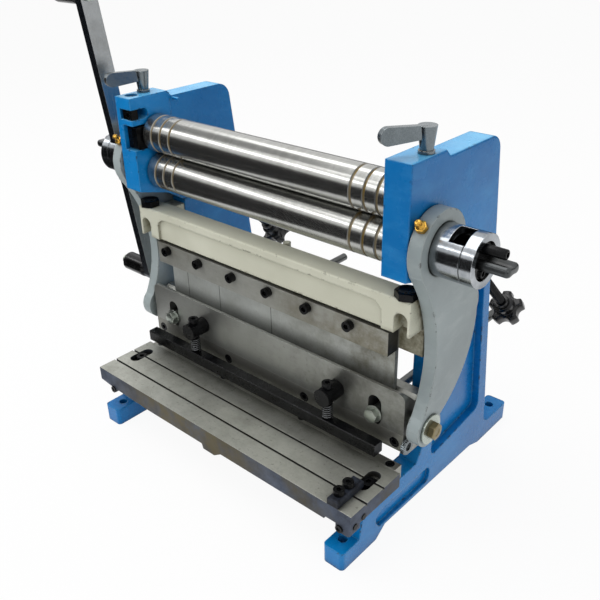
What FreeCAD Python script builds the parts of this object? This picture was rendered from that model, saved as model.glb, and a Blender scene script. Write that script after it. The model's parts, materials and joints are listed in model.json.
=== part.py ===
import FreeCAD, Part
import math
import os
import re

import Sketcher

# Bench machine with a guillotine shear, a press brake and three bending rolls.
# X runs along the rolls (+X right seen from the front), the front faces -Y, Z is up.
# The origin is the centre of the four bench bolts on the underside of the feet.

SIZES = {
    # side frames
    "frame_inner": 154.4,
    "web_thick": 19.8,
    "head_thick": 24.2,
    "foot_half": 148,
    "foot_high": 20,
    "mount_radius": 4.5,
    "seat_front": -117,
    "web_front": -20,
    "rear_foot": 97,
    "rear_knee": 93,
    "head_rear": 57,
    "recess_deep": 8,
    # rolls and their bearings
    "roll_radius": 19.5,
    "roll_clear": 1,
    "roll_y": -47,
    "lower_z": 278,
    "roll_gap": 0.3,
    "bush_radius": 15,
    "journal_radius": 12.5,
    "stub_radius": 8,
    "shaft_radius": 9.5,
    "running_gap": 0.04,
    "gear_wide": 6.6,
    "upper_lift": 1.5,
    # lift levers
    "lever_stem": 3.6,
    "lever_reach": 40,
    # eccentric hubs, cranks and arms
    "eccentric": 6,
    "hub_radius": 22,
    "hub_bore": 16,
    "hub_long": 49,
    "tab_left": 37,
    "tab_right": 23.5,
    "arm_thick": 12.5,
    "bar_thick": 11.5,
    "bar_half": 9.5,
    "bar_ahead": 4,
    "bar_tilt": 7,
    "grip_up": 168,
    "grip_down": 149,
    "grip_radius": 11,
    "grip_long": 40,
    # ram with the upper blade
    "ram_thick": 30,
    "ram_high": 70,
    "slot_half": 7.35,
    "blade_rake": 3,
    "blade_high": 21.3,
    # table
    "table_front": -144,
    "table_back": -72,
    "table_top": 65.7,
    "table_thick": 15.4,
    "side_slot_y": -97.5,
    # hold-down
    "hold_half": 6,
    "hold_left_x": -91,
    "hold_right_x": 97,
    "lug_radius": 9,
    "hold_bolt": 3.5,
    # back gauge
    "rod_radius": 5,
    "rod_end": 222,
    # rear roll adjusters
    "star_far": 182.4,
    "star_radius": 18,
    "star_screw": 5,
    "rear_travel": 12,
}

# sizes that follow from the ones above
DERIVED = {
    "web_outer": "frame_inner + web_thick",
    "head_outer": "frame_inner + head_thick",
    "rail_inner": "frame_inner - 2.9",
    "mount_x": "frame_inner + 7.6",
    "mount_y": "foot_half - 16",
    "upper_z": "lower_z + 2 * roll_radius + roll_gap",
    "head_top": "upper_z + 39.2",
    "head_low": "lower_z - 18",
    "head_front": "roll_y - 29.5",
    "roll_half": "frame_inner - roll_clear",
    "stub_end": "frame_inner + 13.6",
    "rear_y": "roll_y + 55",
    "rear_z": "lower_z - 6",
    "bush_bore": "journal_radius + 0.03",
    "gear_start": "frame_inner + 5.4",
    "gear_end": "gear_start + gear_wide",
    "gear_tip": "roll_radius + 2.6",
    "gear_tooth": "3.14159 * roll_radius / 13 - 0.41",
    "chamber_radius": "gear_tip + 0.7",
    "lever_x": "head_outer - 8.1",
    "lever_y": "roll_y + 1",
    "lock_x": "-(frame_inner + 13.1)",
    "lock_y": "roll_y - 17",
    "hub_z": "lower_z + eccentric",
    "hub_start": "head_outer + 1.4",
    "hub_end": "hub_start + hub_long",
    "arm_end": "hub_start + arm_thick",
    "shaft_end": "hub_start + 23",
    "bar_inner": "hub_start + 26.5",
    "bar_outer": "bar_inner + bar_thick",
    "brake_y": "roll_y + 2",
    "ram_half": "head_outer - 4.6",
    "ram_front": "brake_y - 16",
    "ram_back": "ram_front + ram_thick",
    "blade_edge": "table_top + 11",
    "blade_top": "blade_edge + blade_high",
    "ram_low": "blade_edge - 4.7",
    "ram_top": "ram_low + ram_high",
    "slot_x": "frame_inner - 12.9",
    "bolt_z": "ram_top - 33",
    "eye_y": "brake_y - 3",
    "guide_front": "ram_back + 0.3",
    "guide_low": "bolt_z - 29",
    "guide_top": "bolt_z + 9",
    "beam_half": "head_outer - 1.6",
    "beam_bolt_x": "beam_half - 9.5",
    "beam_front": "brake_y - 20",
    "beam_top": "lower_z - 41",
    "beam_lip": "beam_top - 33",
    "finger_front": "brake_y - 2.5",
    "finger_back": "brake_y + 2.5",
    "finger_tip": "ram_top - 12",
    "finger_top": "beam_lip - 4",
    "table_half": "head_outer + 1.4",
    "table_low": "table_top - table_thick",
    "apron_low": "table_low - 9.3",
    "seat_z": "table_low - 0.3",
    "shear_y": "ram_front - 0.35",
    "side_slot_x": "table_half - 16.5",
    "hold_y": "ram_front - 14",
    "hold_low": "table_top + 12.5",
    "lug_z": "hold_low + 38.8",
    "rod_x": "frame_inner - 36.4",
    "rod_z": "guide_low + 9",
    "star_x": "frame_inner + 12.1",
}

doc = FreeCAD.newDocument("bench_machine")
sheet = doc.addObject("Spreadsheet::Sheet", "Sizes")
ENTRIES = [(alias, str(size)) for alias, size in SIZES.items()]
ENTRIES += [(alias, "=" + text) for alias, text in DERIVED.items()]
for row, (alias, text) in enumerate(ENTRIES, start=1):
    sheet.set("A%d" % row, alias)
    sheet.setAlias("B%d" % row, alias)
    sheet.set("B%d" % row, text)
doc.recompute()

NODES = []
ALIASES = set(SIZES) | set(DERIVED)
WORD = re.compile(r"[a-z][a-z_]*")
PLANES = {"X": "YZ_Plane", "Y": "XZ_Plane", "Z": "XY_Plane"}
SIDES = (("left", -1), ("right", 1))
LUG_LOW = "(lug_z - lug_radius)"
LUG_TOP = "(lug_z + lug_radius)"


def formula(text):
    """Turn a size formula into an expression that points at the sheet."""
    return WORD.sub(lambda m: "Sizes." + m.group(0) if m.group(0) in ALIASES else m.group(0), str(text))


def number(text):
    """Value of a size formula in millimetres."""
    if isinstance(text, (int, float)):
        return float(text)
    return float(sheet.evalExpression(formula(text).replace("Sizes.", "")))


def place(obj, at=(0, 0, 0), turn=None):
    """Put an object at three size formulas, turned by (axis, degrees)."""
    rotation = FreeCAD.Rotation()
    if turn:
        rotation = FreeCAD.Rotation(FreeCAD.Vector(*turn[0]), turn[1])
    obj.Placement = FreeCAD.Placement(FreeCAD.Vector(*[number(value) for value in at]), rotation)
    for name, value in zip("xyz", at):
        if isinstance(value, str):
            obj.setExpression("Placement.Base." + name, formula(value))


def circle(u, v, radius):
    return ("circle", u, v, radius)


def rect(u_low, u_high, v_low, v_high):
    return [(u_low, v_low), (u_high, v_low), (u_high, v_high), (u_low, v_high)]


def hexagon(u, v, flats):
    """Hexagon with two flats level, given by its width across flats."""
    corners = []
    for step in range(6):
        angle = math.radians(60 * step)
        reach = "(%s) / sqrt(3)" % flats
        corners.append(("(%s) + %s * %.6f" % (u, reach, math.cos(angle)),
                        "(%s) + %s * %.6f" % (v, reach, math.sin(angle))))
    return corners


def capsule(u, v_low, v_high, radius):
    """Upright slot outline from two arcs and two straight sides."""
    right = "(%s) + (%s)" % (u, radius)
    left = "(%s) - (%s)" % (u, radius)
    return [(right, v_low), (right, v_high), (u, "(%s) + (%s)" % (v_high, radius), radius),
            (left, v_high, radius), (left, v_low), (u, "(%s) - (%s)" % (v_low, radius), radius),
            ("first", radius)]


def span(side, low, high):
    """Interval along X of a pair of faces, mirrored for the left side."""
    if side > 0:
        return low, high
    return "-(%s)" % high, "-(%s)" % low


def bind_constraint(sketch, constraint, text):
    index = sketch.addConstraint(constraint)
    if isinstance(text, str):
        sketch.setExpression("Constraints[%d]" % index, formula(text))


def pin(sketch, geometry, end, u, v):
    """Hold one sketch point at the coordinates given by two formulas."""
    for kind, axis, text in (("DistanceX", -2, u), ("DistanceY", -1, v)):
        amount = number(text)
        if abs(amount) < 1e-7:
            sketch.addConstraint(Sketcher.Constraint("PointOnObject", geometry, end, axis))
        else:
            bind_constraint(sketch, Sketcher.Constraint(kind, -1, 1, geometry, end, amount), text)


def arc_between(start, end, radius):
    """Short arc from start to end, centre on the left for a positive radius."""
    chord = end - start
    half = chord.Length / 2.0
    rise = math.sqrt(max(radius * radius - half * half, 0.0))
    left = FreeCAD.Vector(-chord.y, chord.x, 0).normalize()
    centre = (start + end) * 0.5 + left * (rise if radius > 0 else -rise)
    first, last = (start, end) if radius > 0 else (end, start)
    angles = [math.atan2(point.y - centre.y, point.x - centre.x) for point in (first, last)]
    if angles[1] < angles[0]:
        angles[1] += 2 * math.pi
    return Part.ArcOfCircle(Part.Circle(centre, FreeCAD.Vector(0, 0, 1), abs(radius)), *angles)


def draw_path(sketch, corners):
    """Closed outline; a third entry on a corner makes the side that ends there an arc."""
    closing = None
    if corners[-1][0] == "first":
        closing = corners[-1][1]
        corners = corners[:-1]
    points = [FreeCAD.Vector(number(corner[0]), number(corner[1]), 0) for corner in corners]
    count = len(corners)
    sides = []
    for index in range(count):
        following = (index + 1) % count
        radius = corners[following][2] if len(corners[following]) > 2 else None
        if following == 0:
            radius = closing
        if radius is None:
            shape = Part.LineSegment(points[index], points[following])
            ends = (1, 2)
        else:
            shape = arc_between(points[index], points[following], number(radius))
            ends = (1, 2) if number(radius) > 0 else (2, 1)
        sides.append((sketch.addGeometry(shape, False), ends, radius))
    for index, (geometry, ends, radius) in enumerate(sides):
        following = sides[(index + 1) % count]
        sketch.addConstraint(Sketcher.Constraint("Coincident", geometry, ends[1],
                                                 following[0], following[1][0]))
    for index, (geometry, ends, radius) in enumerate(sides):
        pin(sketch, geometry, ends[0], corners[index][0], corners[index][1])
    for geometry, ends, radius in sides:
        if radius is not None:
            amount = abs(number(radius))
            text = "abs(%s)" % radius if isinstance(radius, str) else None
            bind_constraint(sketch, Sketcher.Constraint("Radius", geometry, amount), text)


def draw(sketch, loops):
    for loop in loops:
        if loop[0] == "circle":
            centre = FreeCAD.Vector(number(loop[1]), number(loop[2]), 0)
            ring = Part.Circle(centre, FreeCAD.Vector(0, 0, 1), number(loop[3]))
            geometry = sketch.addGeometry(ring, False)
            pin(sketch, geometry, 3, loop[1], loop[2])
            bind_constraint(sketch, Sketcher.Constraint("Radius", geometry, number(loop[3])), loop[3])
        else:
            draw_path(sketch, loop)


class Piece:
    """One named sub-part: a body built up from outlines on its origin planes."""

    def __init__(self, name, at=(0, 0, 0), turn=None):
        self.name = name
        self.body = doc.addObject("PartDesign::Body", name)
        self.body.Label = name
        self.body.AllowCompound = True
        place(self.body, at, turn)
        NODES.append(self.body)

    def outline(self, axis, level, loops):
        """Sketch on the origin plane across the axis, moved to a level along it."""
        plane = [item for item in self.body.Origin.OriginFeatures if item.Role == PLANES[axis]][0]
        sketch = self.body.newObject("Sketcher::SketchObject", self.name + "_outline")
        sketch.AttachmentSupport = (plane, [""])
        sketch.MapMode = "FlatFace"
        offset = "-(%s)" % level if axis == "Y" else "%s" % level
        sketch.setExpression("AttachmentOffset.Base.z", formula(offset))
        draw(sketch, loops)
        return sketch

    def pad(self, axis, loops, low, high):
        """Add material between two levels along an axis."""
        sketch = self.outline(axis, high if axis == "Y" else low, loops)
        feature = self.body.newObject("PartDesign::Pad", self.name + "_pad")
        feature.Profile = sketch
        feature.setExpression("Length", formula("(%s) - (%s)" % (high, low)))
        return feature

    def cut(self, axis, loops, low, high):
        """Take material away between two levels along an axis."""
        sketch = self.outline(axis, low if axis == "Y" else high, loops)
        feature = self.body.newObject("PartDesign::Pocket", self.name + "_pocket")
        feature.Profile = sketch
        feature.setExpression("Length", formula("(%s) - (%s)" % (high, low)))
        return feature

    def turned(self, profile):
        """Revolve a profile of (x, radius) corners about the body's X axis."""
        sketch = self.outline("Y", 0, [profile])
        feature = self.body.newObject("PartDesign::Revolution", self.name + "_turned")
        feature.Profile = sketch
        feature.ReferenceAxis = (sketch, ["H_Axis"])
        feature.Angle = 360
        return feature

    def ring(self, feature, axis, count):
        """Repeat a feature around a body axis."""
        line = [item for item in self.body.Origin.OriginFeatures if item.Role == axis + "_Axis"][0]
        pattern = self.body.newObject("PartDesign::PolarPattern", self.name + "_ring")
        pattern.Originals = [feature]
        pattern.Axis = (line, [""])
        pattern.Angle = 360
        pattern.Occurrences = count
        self.body.Tip = pattern
        return pattern

    def soften(self, kind, size, wanted):
        """Fillet or chamfer every edge that the test picks out."""
        doc.recompute()
        tip = self.body.Tip
        names = ["Edge%d" % (index + 1) for index, edge in enumerate(tip.Shape.Edges) if wanted(edge)]
        feature = self.body.newObject("PartDesign::" + kind, self.name + "_soft")
        feature.Base = (tip, names)
        target = "Radius" if kind == "Fillet" else "Size"
        feature.setExpression(target, formula(size))
        return feature


def at_corner(axis, spots):
    """Test for straight edges along an axis that pass through given points across it."""
    lane = "XYZ".index(axis)
    rest = [item for item in range(3) if item != lane]
    targets = [[number(value) for value in spot] for spot in spots]

    def wanted(edge):
        if len(edge.Vertexes) != 2:
            return False
        first, last = [vertex.Point for vertex in edge.Vertexes]
        if abs(first[lane] - last[lane]) < 0.5:
            return False
        for target in targets:
            gaps = [abs(point[item] - goal) for point in (first, last) for item, goal in zip(rest, target)]
            if max(gaps) < 0.02:
                return True
        return False

    return wanted


def on_level(axis, level, centre=None, reach=None):
    """Test for edges lying in one plane, optionally near a centre in that plane."""
    lane = "XYZ".index(axis)
    rest = [item for item in range(3) if item != lane]
    height = number(level)
    middle = [number(value) for value in centre] if centre else None
    widest = number(reach) if reach else None

    def wanted(edge):
        box = edge.BoundBox
        low = (box.XMin, box.YMin, box.ZMin)
        high = (box.XMax, box.YMax, box.ZMax)
        if abs(low[lane] - height) > 0.01 or abs(high[lane] - height) > 0.01:
            return False
        if middle is None:
            return True
        gaps = [max(abs(low[item] - goal), abs(high[item] - goal)) for item, goal in zip(rest, middle)]
        return max(gaps) <= widest

    return wanted


def cap_screws(name, axis, spots, seat, head, head_radius, shank, shank_radius, socket):
    """Group of socket cap screws along one axis; head and shank are signed reaches from the seat."""
    piece = Piece(name)

    def between(reach):
        if reach > 0:
            return seat, "(%s) + %s" % (seat, reach)
        return "(%s) - %s" % (seat, -reach), seat

    low, high = between(head)
    piece.pad(axis, [circle(u, v, head_radius) for u, v in spots], low, high)
    low, high = between(shank)
    piece.pad(axis, [circle(u, v, shank_radius) for u, v in spots], low, high)
    deep = 0.55 * head
    top = "(%s) + (%s)" % (seat, head)
    floor = "(%s) + (%s)" % (seat, head - deep)
    low, high = (floor, top) if head > 0 else (top, floor)
    piece.cut(axis, [hexagon(u, v, socket) for u, v in spots], low, high)
    return piece


# ---------------------------------------------------------------- side frames
SOLE = [("-foot_half", 0), (-98, 0), (-84, 10), (70, 6), (88, 0), ("foot_half", 0),
        ("foot_half", "foot_high")]
RAIL = SOLE + [("-foot_half", "foot_high")]
FRAME = SOLE + [("rear_foot", "foot_high"), ("rear_knee", 62), ("head_rear", "head_top - 6"),
                ("roll_y + 24", "head_top - 6"), ("roll_y + 18", "head_top"), ("head_front", "head_top"),
                ("head_front", "head_low"), ("roll_y + 6", "head_low - 10"), ("web_front", "head_low - 24"),
                ("web_front", "seat_z + 27"), (-36, "seat_z"), ("seat_front", "seat_z"),
                ("seat_front - 7", "foot_high"), ("-foot_half", "foot_high")]
REAR_AT_HEAD = "rear_knee - (rear_knee - head_rear) * (head_low - 24 - 62) / (head_top - 6 - 62)"
HEAD = [("web_front", "head_low - 24"), (REAR_AT_HEAD, "head_low - 24"), ("head_rear", "head_top - 6"),
        ("roll_y + 24", "head_top - 6"), ("roll_y + 18", "head_top"), ("head_front", "head_top"),
        ("head_front", "head_low"), ("roll_y + 6", "head_low - 10")]
RECESS = [("web_front + 10", 42), ("rear_knee - 13", 52), ("head_rear + 5", "head_low - 32"),
          ("web_front + 10", "head_low - 32")]
LOW_RECESS = [(-94, 13), (-10, 13), (-10, 32), (-105, 32)]
HALF_ROOT = math.sqrt(0.5)


def diagonal(distance, offset):
    """Point on the rear adjuster line: distance down-rear from the roll axis, offset across it."""
    return ("rear_y + ((%s) + (%s)) * sqrt(0.5)" % (distance, offset),
            "rear_z + ((%s) - (%s)) * sqrt(0.5)" % (offset, distance))


for label, side in SIDES:
    frame = Piece("frame_" + label)
    frame.pad("X", [FRAME], *span(side, "frame_inner", "web_outer"))
    frame.pad("X", [HEAD], *span(side, "web_outer", "head_outer"))
    frame.pad("X", [RAIL], *span(side, "rail_inner", "frame_inner"))
    frame.cut("X", [RECESS], *span(side, "web_outer - recess_deep", "web_outer"))
    frame.cut("X", [LOW_RECESS], *span(side, "web_outer - 4", "web_outer"))
    frame.cut("X", [rect("roll_y + 21", "rear_knee", "head_low - 24", "head_top")],
              *span(side, "frame_inner", "frame_inner + 1"))
    edge_x = "%d * mount_x" % side
    frame.cut("Z", [circle(edge_x, "mount_y", "mount_radius"), circle(edge_x, "-mount_y", "mount_radius")],
              0, "foot_high")
    # bronze bush of the lower roll
    frame.cut("X", [circle("roll_y", "lower_z", "bush_radius")], *span(side, "frame_inner", "head_outer"))
    # inclined slot of the rear roll block and the bore of its screw
    slot = [diagonal("13.15", "-13.15"), diagonal("13.15", "13.15"),
            diagonal("-13.3 - rear_travel", "13.15"), diagonal("-13.3 - rear_travel", "-13.15")]
    frame.cut("X", [slot], *span(side, "frame_inner", "frame_inner + 18.1"))
    sleeve = frame.body.newObject("PartDesign::SubtractiveCylinder", "screw_bore_" + label)
    sleeve.setExpression("Radius", "Sizes.star_screw + 0.1")
    sleeve.Height = 120
    start = FreeCAD.Vector(side * number("star_x"), number("rear_y") + 12 * HALF_ROOT,
                           number("rear_z") - 12 * HALF_ROOT)
    sleeve.Placement = FreeCAD.Placement(start, FreeCAD.Rotation(FreeCAD.Vector(1, 0, 0), -135))
    sleeve.setExpression("Placement.Base.x", formula("%d * star_x" % side))
    sleeve.setExpression("Placement.Base.y", formula("rear_y + 12 * sqrt(0.5)"))
    sleeve.setExpression("Placement.Base.z", formula("rear_z - 12 * sqrt(0.5)"))
    if side > 0:
        # plate seat, gear chamber and the slot of the sliding upper block
        frame.cut("X", [capsule("roll_y", "lower_z", "upper_z + upper_lift", "chamber_radius + 0.6")],
                  "frame_inner", "gear_start - 0.4")
        frame.cut("X", [capsule("roll_y", "lower_z", "upper_z + upper_lift", "chamber_radius")],
                  "gear_start - 0.4", "gear_end + 0.4")
        frame.cut("X", [rect("roll_y - 12.3", "roll_y + 12.3", "upper_z - 13.3", "upper_z + 16.7")],
                  "gear_end + 0.4", "head_outer - 2.7")
        frame.cut("Z", [circle("lever_x", "lever_y", "lever_stem + 0.3")], "upper_z + 16.7", "head_top")
    else:
        frame.cut("X", [rect("head_front", "roll_y + 14", "upper_z - 13.8", "upper_z + 11.7")],
                  "-frame_inner - 15.6", "-frame_inner")
        window = [("head_front", "upper_z + 17.2"), ("lock_y + 3.75", "upper_z + 17.2"),
                  ("lock_y + 3.75", "upper_z + 27.7", 5.3), ("head_front", "upper_z + 27.7")]
        frame.cut("X", [window], "-frame_inner - 18.1", "-frame_inner")
        frame.cut("Z", [circle("-lever_x", "lever_y", "lever_stem + 0.3")], "upper_z + 11.7", "head_top")
        # counterbore of the lock screw and the stop pin of the swinging block
        frame.cut("Z", [circle("lock_x", "lock_y", 6.5)], "head_top - 6.5", "head_top")
        frame.cut("Z", [circle("lock_x", "lock_y", 3.1)], "upper_z + 27.7", "head_top - 6.5")
        frame.pad("X", [circle("roll_y + 26", "upper_z + 30.2", 1.5)],
                  "-frame_inner - 1.5", "8 - frame_inner")
    toes = [("%d * %s" % (side, face), end) for face in ("web_outer", "rail_inner")
            for end in ("foot_half", "-foot_half")]
    frame.soften("Fillet", 4, at_corner("Z", toes))
    frame.soften("Fillet", 12, at_corner("X", [("rear_foot", "foot_high")]))
    frame.soften("Fillet", 16, at_corner("X", [("head_rear", "head_top - 6")]))
    frame.soften("Fillet", 8, at_corner("X", RECESS + LOW_RECESS))
    frame.soften("Fillet", 5, at_corner("X", [("web_front", "seat_z + 27"), ("seat_front", "seat_z")]))
    frame.soften("Fillet", 1.2, on_level("X", side * number("head_outer")))

# ---------------------------------------------------------------- rolls


def roll_grooves(sign):
    """Wire groove rings near one end, as (x, radius) corners running outwards."""
    corners = []
    for inset in (40.4, 26.4, 13.4):
        for step, depth in ((-1.6, 0), (-0.9, 1.2), (0.9, 1.2), (1.6, 0)):
            corners.append(("%d * (roll_half - %s)" % (sign, inset - step), "roll_radius - %s" % depth))
    if sign < 0:
        corners.reverse()
    return corners


LEFT_EDGE = [("-roll_half", "roll_radius - 1"), ("1 - roll_half", "roll_radius")]
RIGHT_EDGE = [("roll_half - 1", "roll_radius"), ("roll_half", "roll_radius - 1")]
lower = Piece("lower_roll", at=(0, "roll_y", "lower_z"))
lower.turned([("-shaft_end", 0), ("-shaft_end", "shaft_radius - 1"), ("1 - shaft_end", "shaft_radius"),
              ("-head_outer - 0.4", "shaft_radius"), ("-head_outer - 0.4", "journal_radius"),
              ("-roll_half", "journal_radius")] + LEFT_EDGE + roll_grooves(-1) + roll_grooves(1)
             + RIGHT_EDGE + [("roll_half", "journal_radius"), ("head_outer + 0.4", "journal_radius"),
                             ("head_outer + 0.4", "shaft_radius"), ("shaft_end - 1", "shaft_radius"),
                             ("shaft_end", "shaft_radius - 1"), ("shaft_end", 0)])
LEFT_STUB = [("-stub_end", 0), ("-stub_end", "stub_radius"), ("-roll_half", "stub_radius")]
CROWNED_END = [("roll_half", 7), ("gear_start + 1.5", 7), ("gear_start + 1.5", "sqrt(100 - 1.3 * 1.3)"),
               ("gear_start + 4.1", "sqrt(100 - 1.3 * 1.3)", -10), ("gear_start + 4.1", 0)]
upper = Piece("upper_roll", at=(0, "roll_y", "upper_z"))
upper.turned(LEFT_STUB + LEFT_EDGE + roll_grooves(-1) + roll_grooves(1) + RIGHT_EDGE + CROWNED_END)
rear = Piece("rear_roll", at=(0, "rear_y", "rear_z"))
rear.turned(LEFT_STUB + LEFT_EDGE + RIGHT_EDGE
            + [("roll_half", "stub_radius"), ("stub_end", "stub_radius"), ("stub_end", 0)])

for label, side in SIDES:
    bush = Piece("bush_" + label)
    inner = "frame_inner + 0.6" if side < 0 else "gear_end + 0.4"
    bush.pad("X", [circle("roll_y", "lower_z", "bush_radius"), circle("roll_y", "lower_z", "bush_bore")],
             *span(side, inner, "head_outer"))
    block = Piece("rear_block_" + label)
    outline = [diagonal("13", "-13"), diagonal("13", "13"), diagonal("-13", "13"), diagonal("-13", "-13")]
    block.pad("X", [outline, circle("rear_y", "rear_z", "stub_radius + running_gap")],
              *span(side, "frame_inner + 0.3", "frame_inner + 17.8"))


def gear_points(phase):
    """Outline of a thirteen tooth involute spur gear around the origin of the YZ plane."""
    teeth = 13
    pitch = number("roll_radius")
    tip = number("gear_tip")
    root = 2 * pitch + number("roll_gap") - tip - 0.6
    base = pitch * math.cos(math.radians(20))
    involute = math.tan(math.radians(20)) - math.radians(20)

    def half_angle(radius):
        pressure = math.acos(min(base / radius, 1.0))
        return number("gear_tooth") / (2 * pitch) + involute - (math.tan(pressure) - pressure)

    radii = [base + (tip - base) * step / 4.0 for step in range(5)]
    points = []
    for tooth in range(teeth):
        middle = phase + 2 * math.pi * tooth / teeth
        flank = [(root, -half_angle(base))] + [(radius, -half_angle(radius)) for radius in radii]
        flank += [(radius, half_angle(radius)) for radius in reversed(radii)] + [(root, half_angle(base))]
        for radius, angle in flank:
            turn = middle + angle
            points.append(FreeCAD.Vector(0, radius * math.cos(turn), radius * math.sin(turn)))
    points.append(points[0])
    return points


def gear_blank(points, length):
    return Part.Face(Part.makePolygon(points)).extrude(FreeCAD.Vector(length, 0, 0))


def gear(name, z, phase, bore_radius, floor, journal):
    """Spur gear whose bore stops short of the far face by floor, with a stub journal beyond it."""
    start = number("gear_start")
    long = number("gear_end") - start
    shape = gear_blank(gear_points(phase), long)
    shape = shape.cut(Part.makeCylinder(number(bore_radius), long - floor, FreeCAD.Vector(0, 0, 0),
                                        FreeCAD.Vector(1, 0, 0)))
    if journal:
        shape = shape.fuse(Part.makeCylinder(number("stub_radius"), journal, FreeCAD.Vector(long, 0, 0),
                                             FreeCAD.Vector(1, 0, 0)))
    item = doc.addObject("Part::Feature", name)
    item.Label = name
    item.Shape = shape.removeSplitter()
    place(item, ("gear_start", "roll_y", z))
    NODES.append(item)


TOOTH_TURN = math.pi / 13
gear("lower_gear", "lower_z", math.pi / 2, "journal_radius", 0, 0)
gear("upper_gear", "upper_z", -math.pi / 2 + TOOTH_TURN, 10.05, 1, 8)

cover = Piece("gear_cover")
cover.pad("X", [capsule("roll_y", "lower_z", "upper_z + upper_lift", "chamber_radius + 0.6"),
                circle("roll_y", "lower_z", "journal_radius + 0.4"),
                capsule("roll_y", "upper_z", "upper_z + upper_lift", 9)],
          "gear_start - 2.9", "gear_start - 0.4")

right_block = Piece("upper_block_right")
right_block.pad("X", [rect("roll_y - 12", "roll_y + 12", "upper_z - 13", "upper_z + 13"),
                      circle("roll_y", "upper_z", "stub_radius + running_gap")],
                "gear_end + 0.6", "head_outer - 3")
left_block = Piece("upper_block_left")
left_block.pad("X", [rect("roll_y - 25", "roll_y + 13", "upper_z - 13.3", "upper_z + 9.7"),
                     circle("roll_y", "upper_z", "stub_radius + running_gap")],
               "-frame_inner - 15", "-frame_inner - 0.3")
left_block.soften("Fillet", 2, at_corner("X", [("roll_y - 25", "upper_z - 13.3"),
                                               ("roll_y - 25", "upper_z + 9.7")]))

nut = Piece("nut_block")
nut.pad("X", [rect("head_front + 1.5", "lock_y - 3.4", "upper_z + 17.2", "upper_z + 26.7")],
        "-frame_inner - 15.1", "-frame_inner - 1.2")
nut.cut("Y", [circle("-frame_inner - 7.6", "upper_z + 21.9", 2.6)], "head_front + 1.5", "head_front + 6")
lock = Piece("lock_screw")
lock.pad("Z", [circle("lock_x", "lock_y", 6.2)], "head_top - 6.5", "head_top - 2")
lock.pad("Z", [circle("lock_x", "lock_y", 3)], "upper_z + 17.2", "head_top - 6.5")
lock.cut("Z", [hexagon("lock_x", "lock_y", 5)], "head_top - 5", "head_top - 2")

# ---------------------------------------------------------------- lift levers
for label, side in SIDES:
    swung = {-1: -10, 1: -28}[side]
    lever = Piece("lever_" + label, at=("%d * lever_x" % side, "lever_y", "head_top"),
                  turn=((0, 0, 1), swung))
    stem_low = {-1: "upper_z + 13.7 - head_top", 1: "upper_z + 14.9 - head_top"}[side]
    lever.pad("Z", [circle(0, 0, "lever_stem")], stem_low, 2.5)
    lever.pad("Z", [circle(0, 0, 6.6)], 0.3, 2.5)
    boss = lever.body.newObject("PartDesign::AdditiveCone", "boss_" + label)
    boss.Radius1 = 5.4
    boss.Radius2 = 7.5
    boss.Height = 19
    boss.Placement = FreeCAD.Placement(FreeCAD.Vector(0, 0, 2.5), FreeCAD.Rotation())
    paddle = [(0, 21.5), ("7 - lever_reach", 23.5), ("-lever_reach", 16.5, 7), ("7 - lever_reach", 9.5, 7),
              (0, 11.5)]
    lever.pad("X", [paddle], -2.6, 2.6)

# ---------------------------------------------------------------- ram, guide and blades
BLADE_SPOTS = [("%s * (ram_half - 9.5)" % share, "blade_top - 11")
               for share in ("-1", "-1 / 3", "1 / 3", "1")]
ram = Piece("ram")
ram.pad("X", [[("ram_front", "blade_top"), ("ram_front", "ram_top"), ("brake_y - 13", "ram_top"),
               ("brake_y", "ram_top - 13"), ("brake_y + 4", "ram_top - 9"), ("ram_back", "ram_top - 9"),
               ("ram_back", "ram_low"), ("ram_front + 8", "ram_low"), ("ram_front + 8", "blade_top")]],
        "-ram_half", "ram_half")
ram.cut("Y", [capsule("-slot_x", "bolt_z - 5", "bolt_z + 12", "slot_half"),
              capsule("slot_x", "bolt_z - 5", "bolt_z + 12", "slot_half")], "ram_front", "ram_back")
ram.cut("Y", [circle(x, z, 3) for x, z in BLADE_SPOTS], "ram_front + 8", "ram_front + 20")
ram.soften("Fillet", 8, at_corner("Y", [("ram_half", "ram_top"), ("-ram_half", "ram_top")]))

blade = Piece("upper_blade")
blade.pad("Y", [[("-ram_half", "blade_edge"), ("ram_half", "blade_edge + blade_rake"),
                 ("ram_half", "blade_top"), ("-ram_half", "blade_top")]], "ram_front", "ram_front + 8")
blade.cut("Y", [circle(x, z, 3) for x, z in BLADE_SPOTS], "ram_front + 5", "ram_front + 8")
blade.cut("Y", [circle(x, z, 5.5) for x, z in BLADE_SPOTS], "ram_front", "ram_front + 5")
cap_screws("blade_screws", "Y", BLADE_SPOTS, "ram_front + 5", -4.9, 5.2, 14, 2.9, 5)

guide = Piece("guide_bar")
guide.pad("Y", [rect("-ram_half", "ram_half", "guide_low", "guide_top")], "guide_front", "web_front")
bolts = Piece("guide_bolts")
GUIDE_SPOTS = [("-slot_x", "bolt_z"), ("slot_x", "bolt_z")]
bolts.pad("Y", [circle(u, v, 8.6) for u, v in GUIDE_SPOTS], "ram_front - 1.8", "ram_front - 0.3")
bolts.pad("Y", [hexagon(u, v, 12.5) for u, v in GUIDE_SPOTS], "ram_front - 7.8", "ram_front - 1.8")
bolts.pad("Y", [circle(u, v, 6) for u, v in GUIDE_SPOTS], "ram_front - 0.3", "guide_front")

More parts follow.
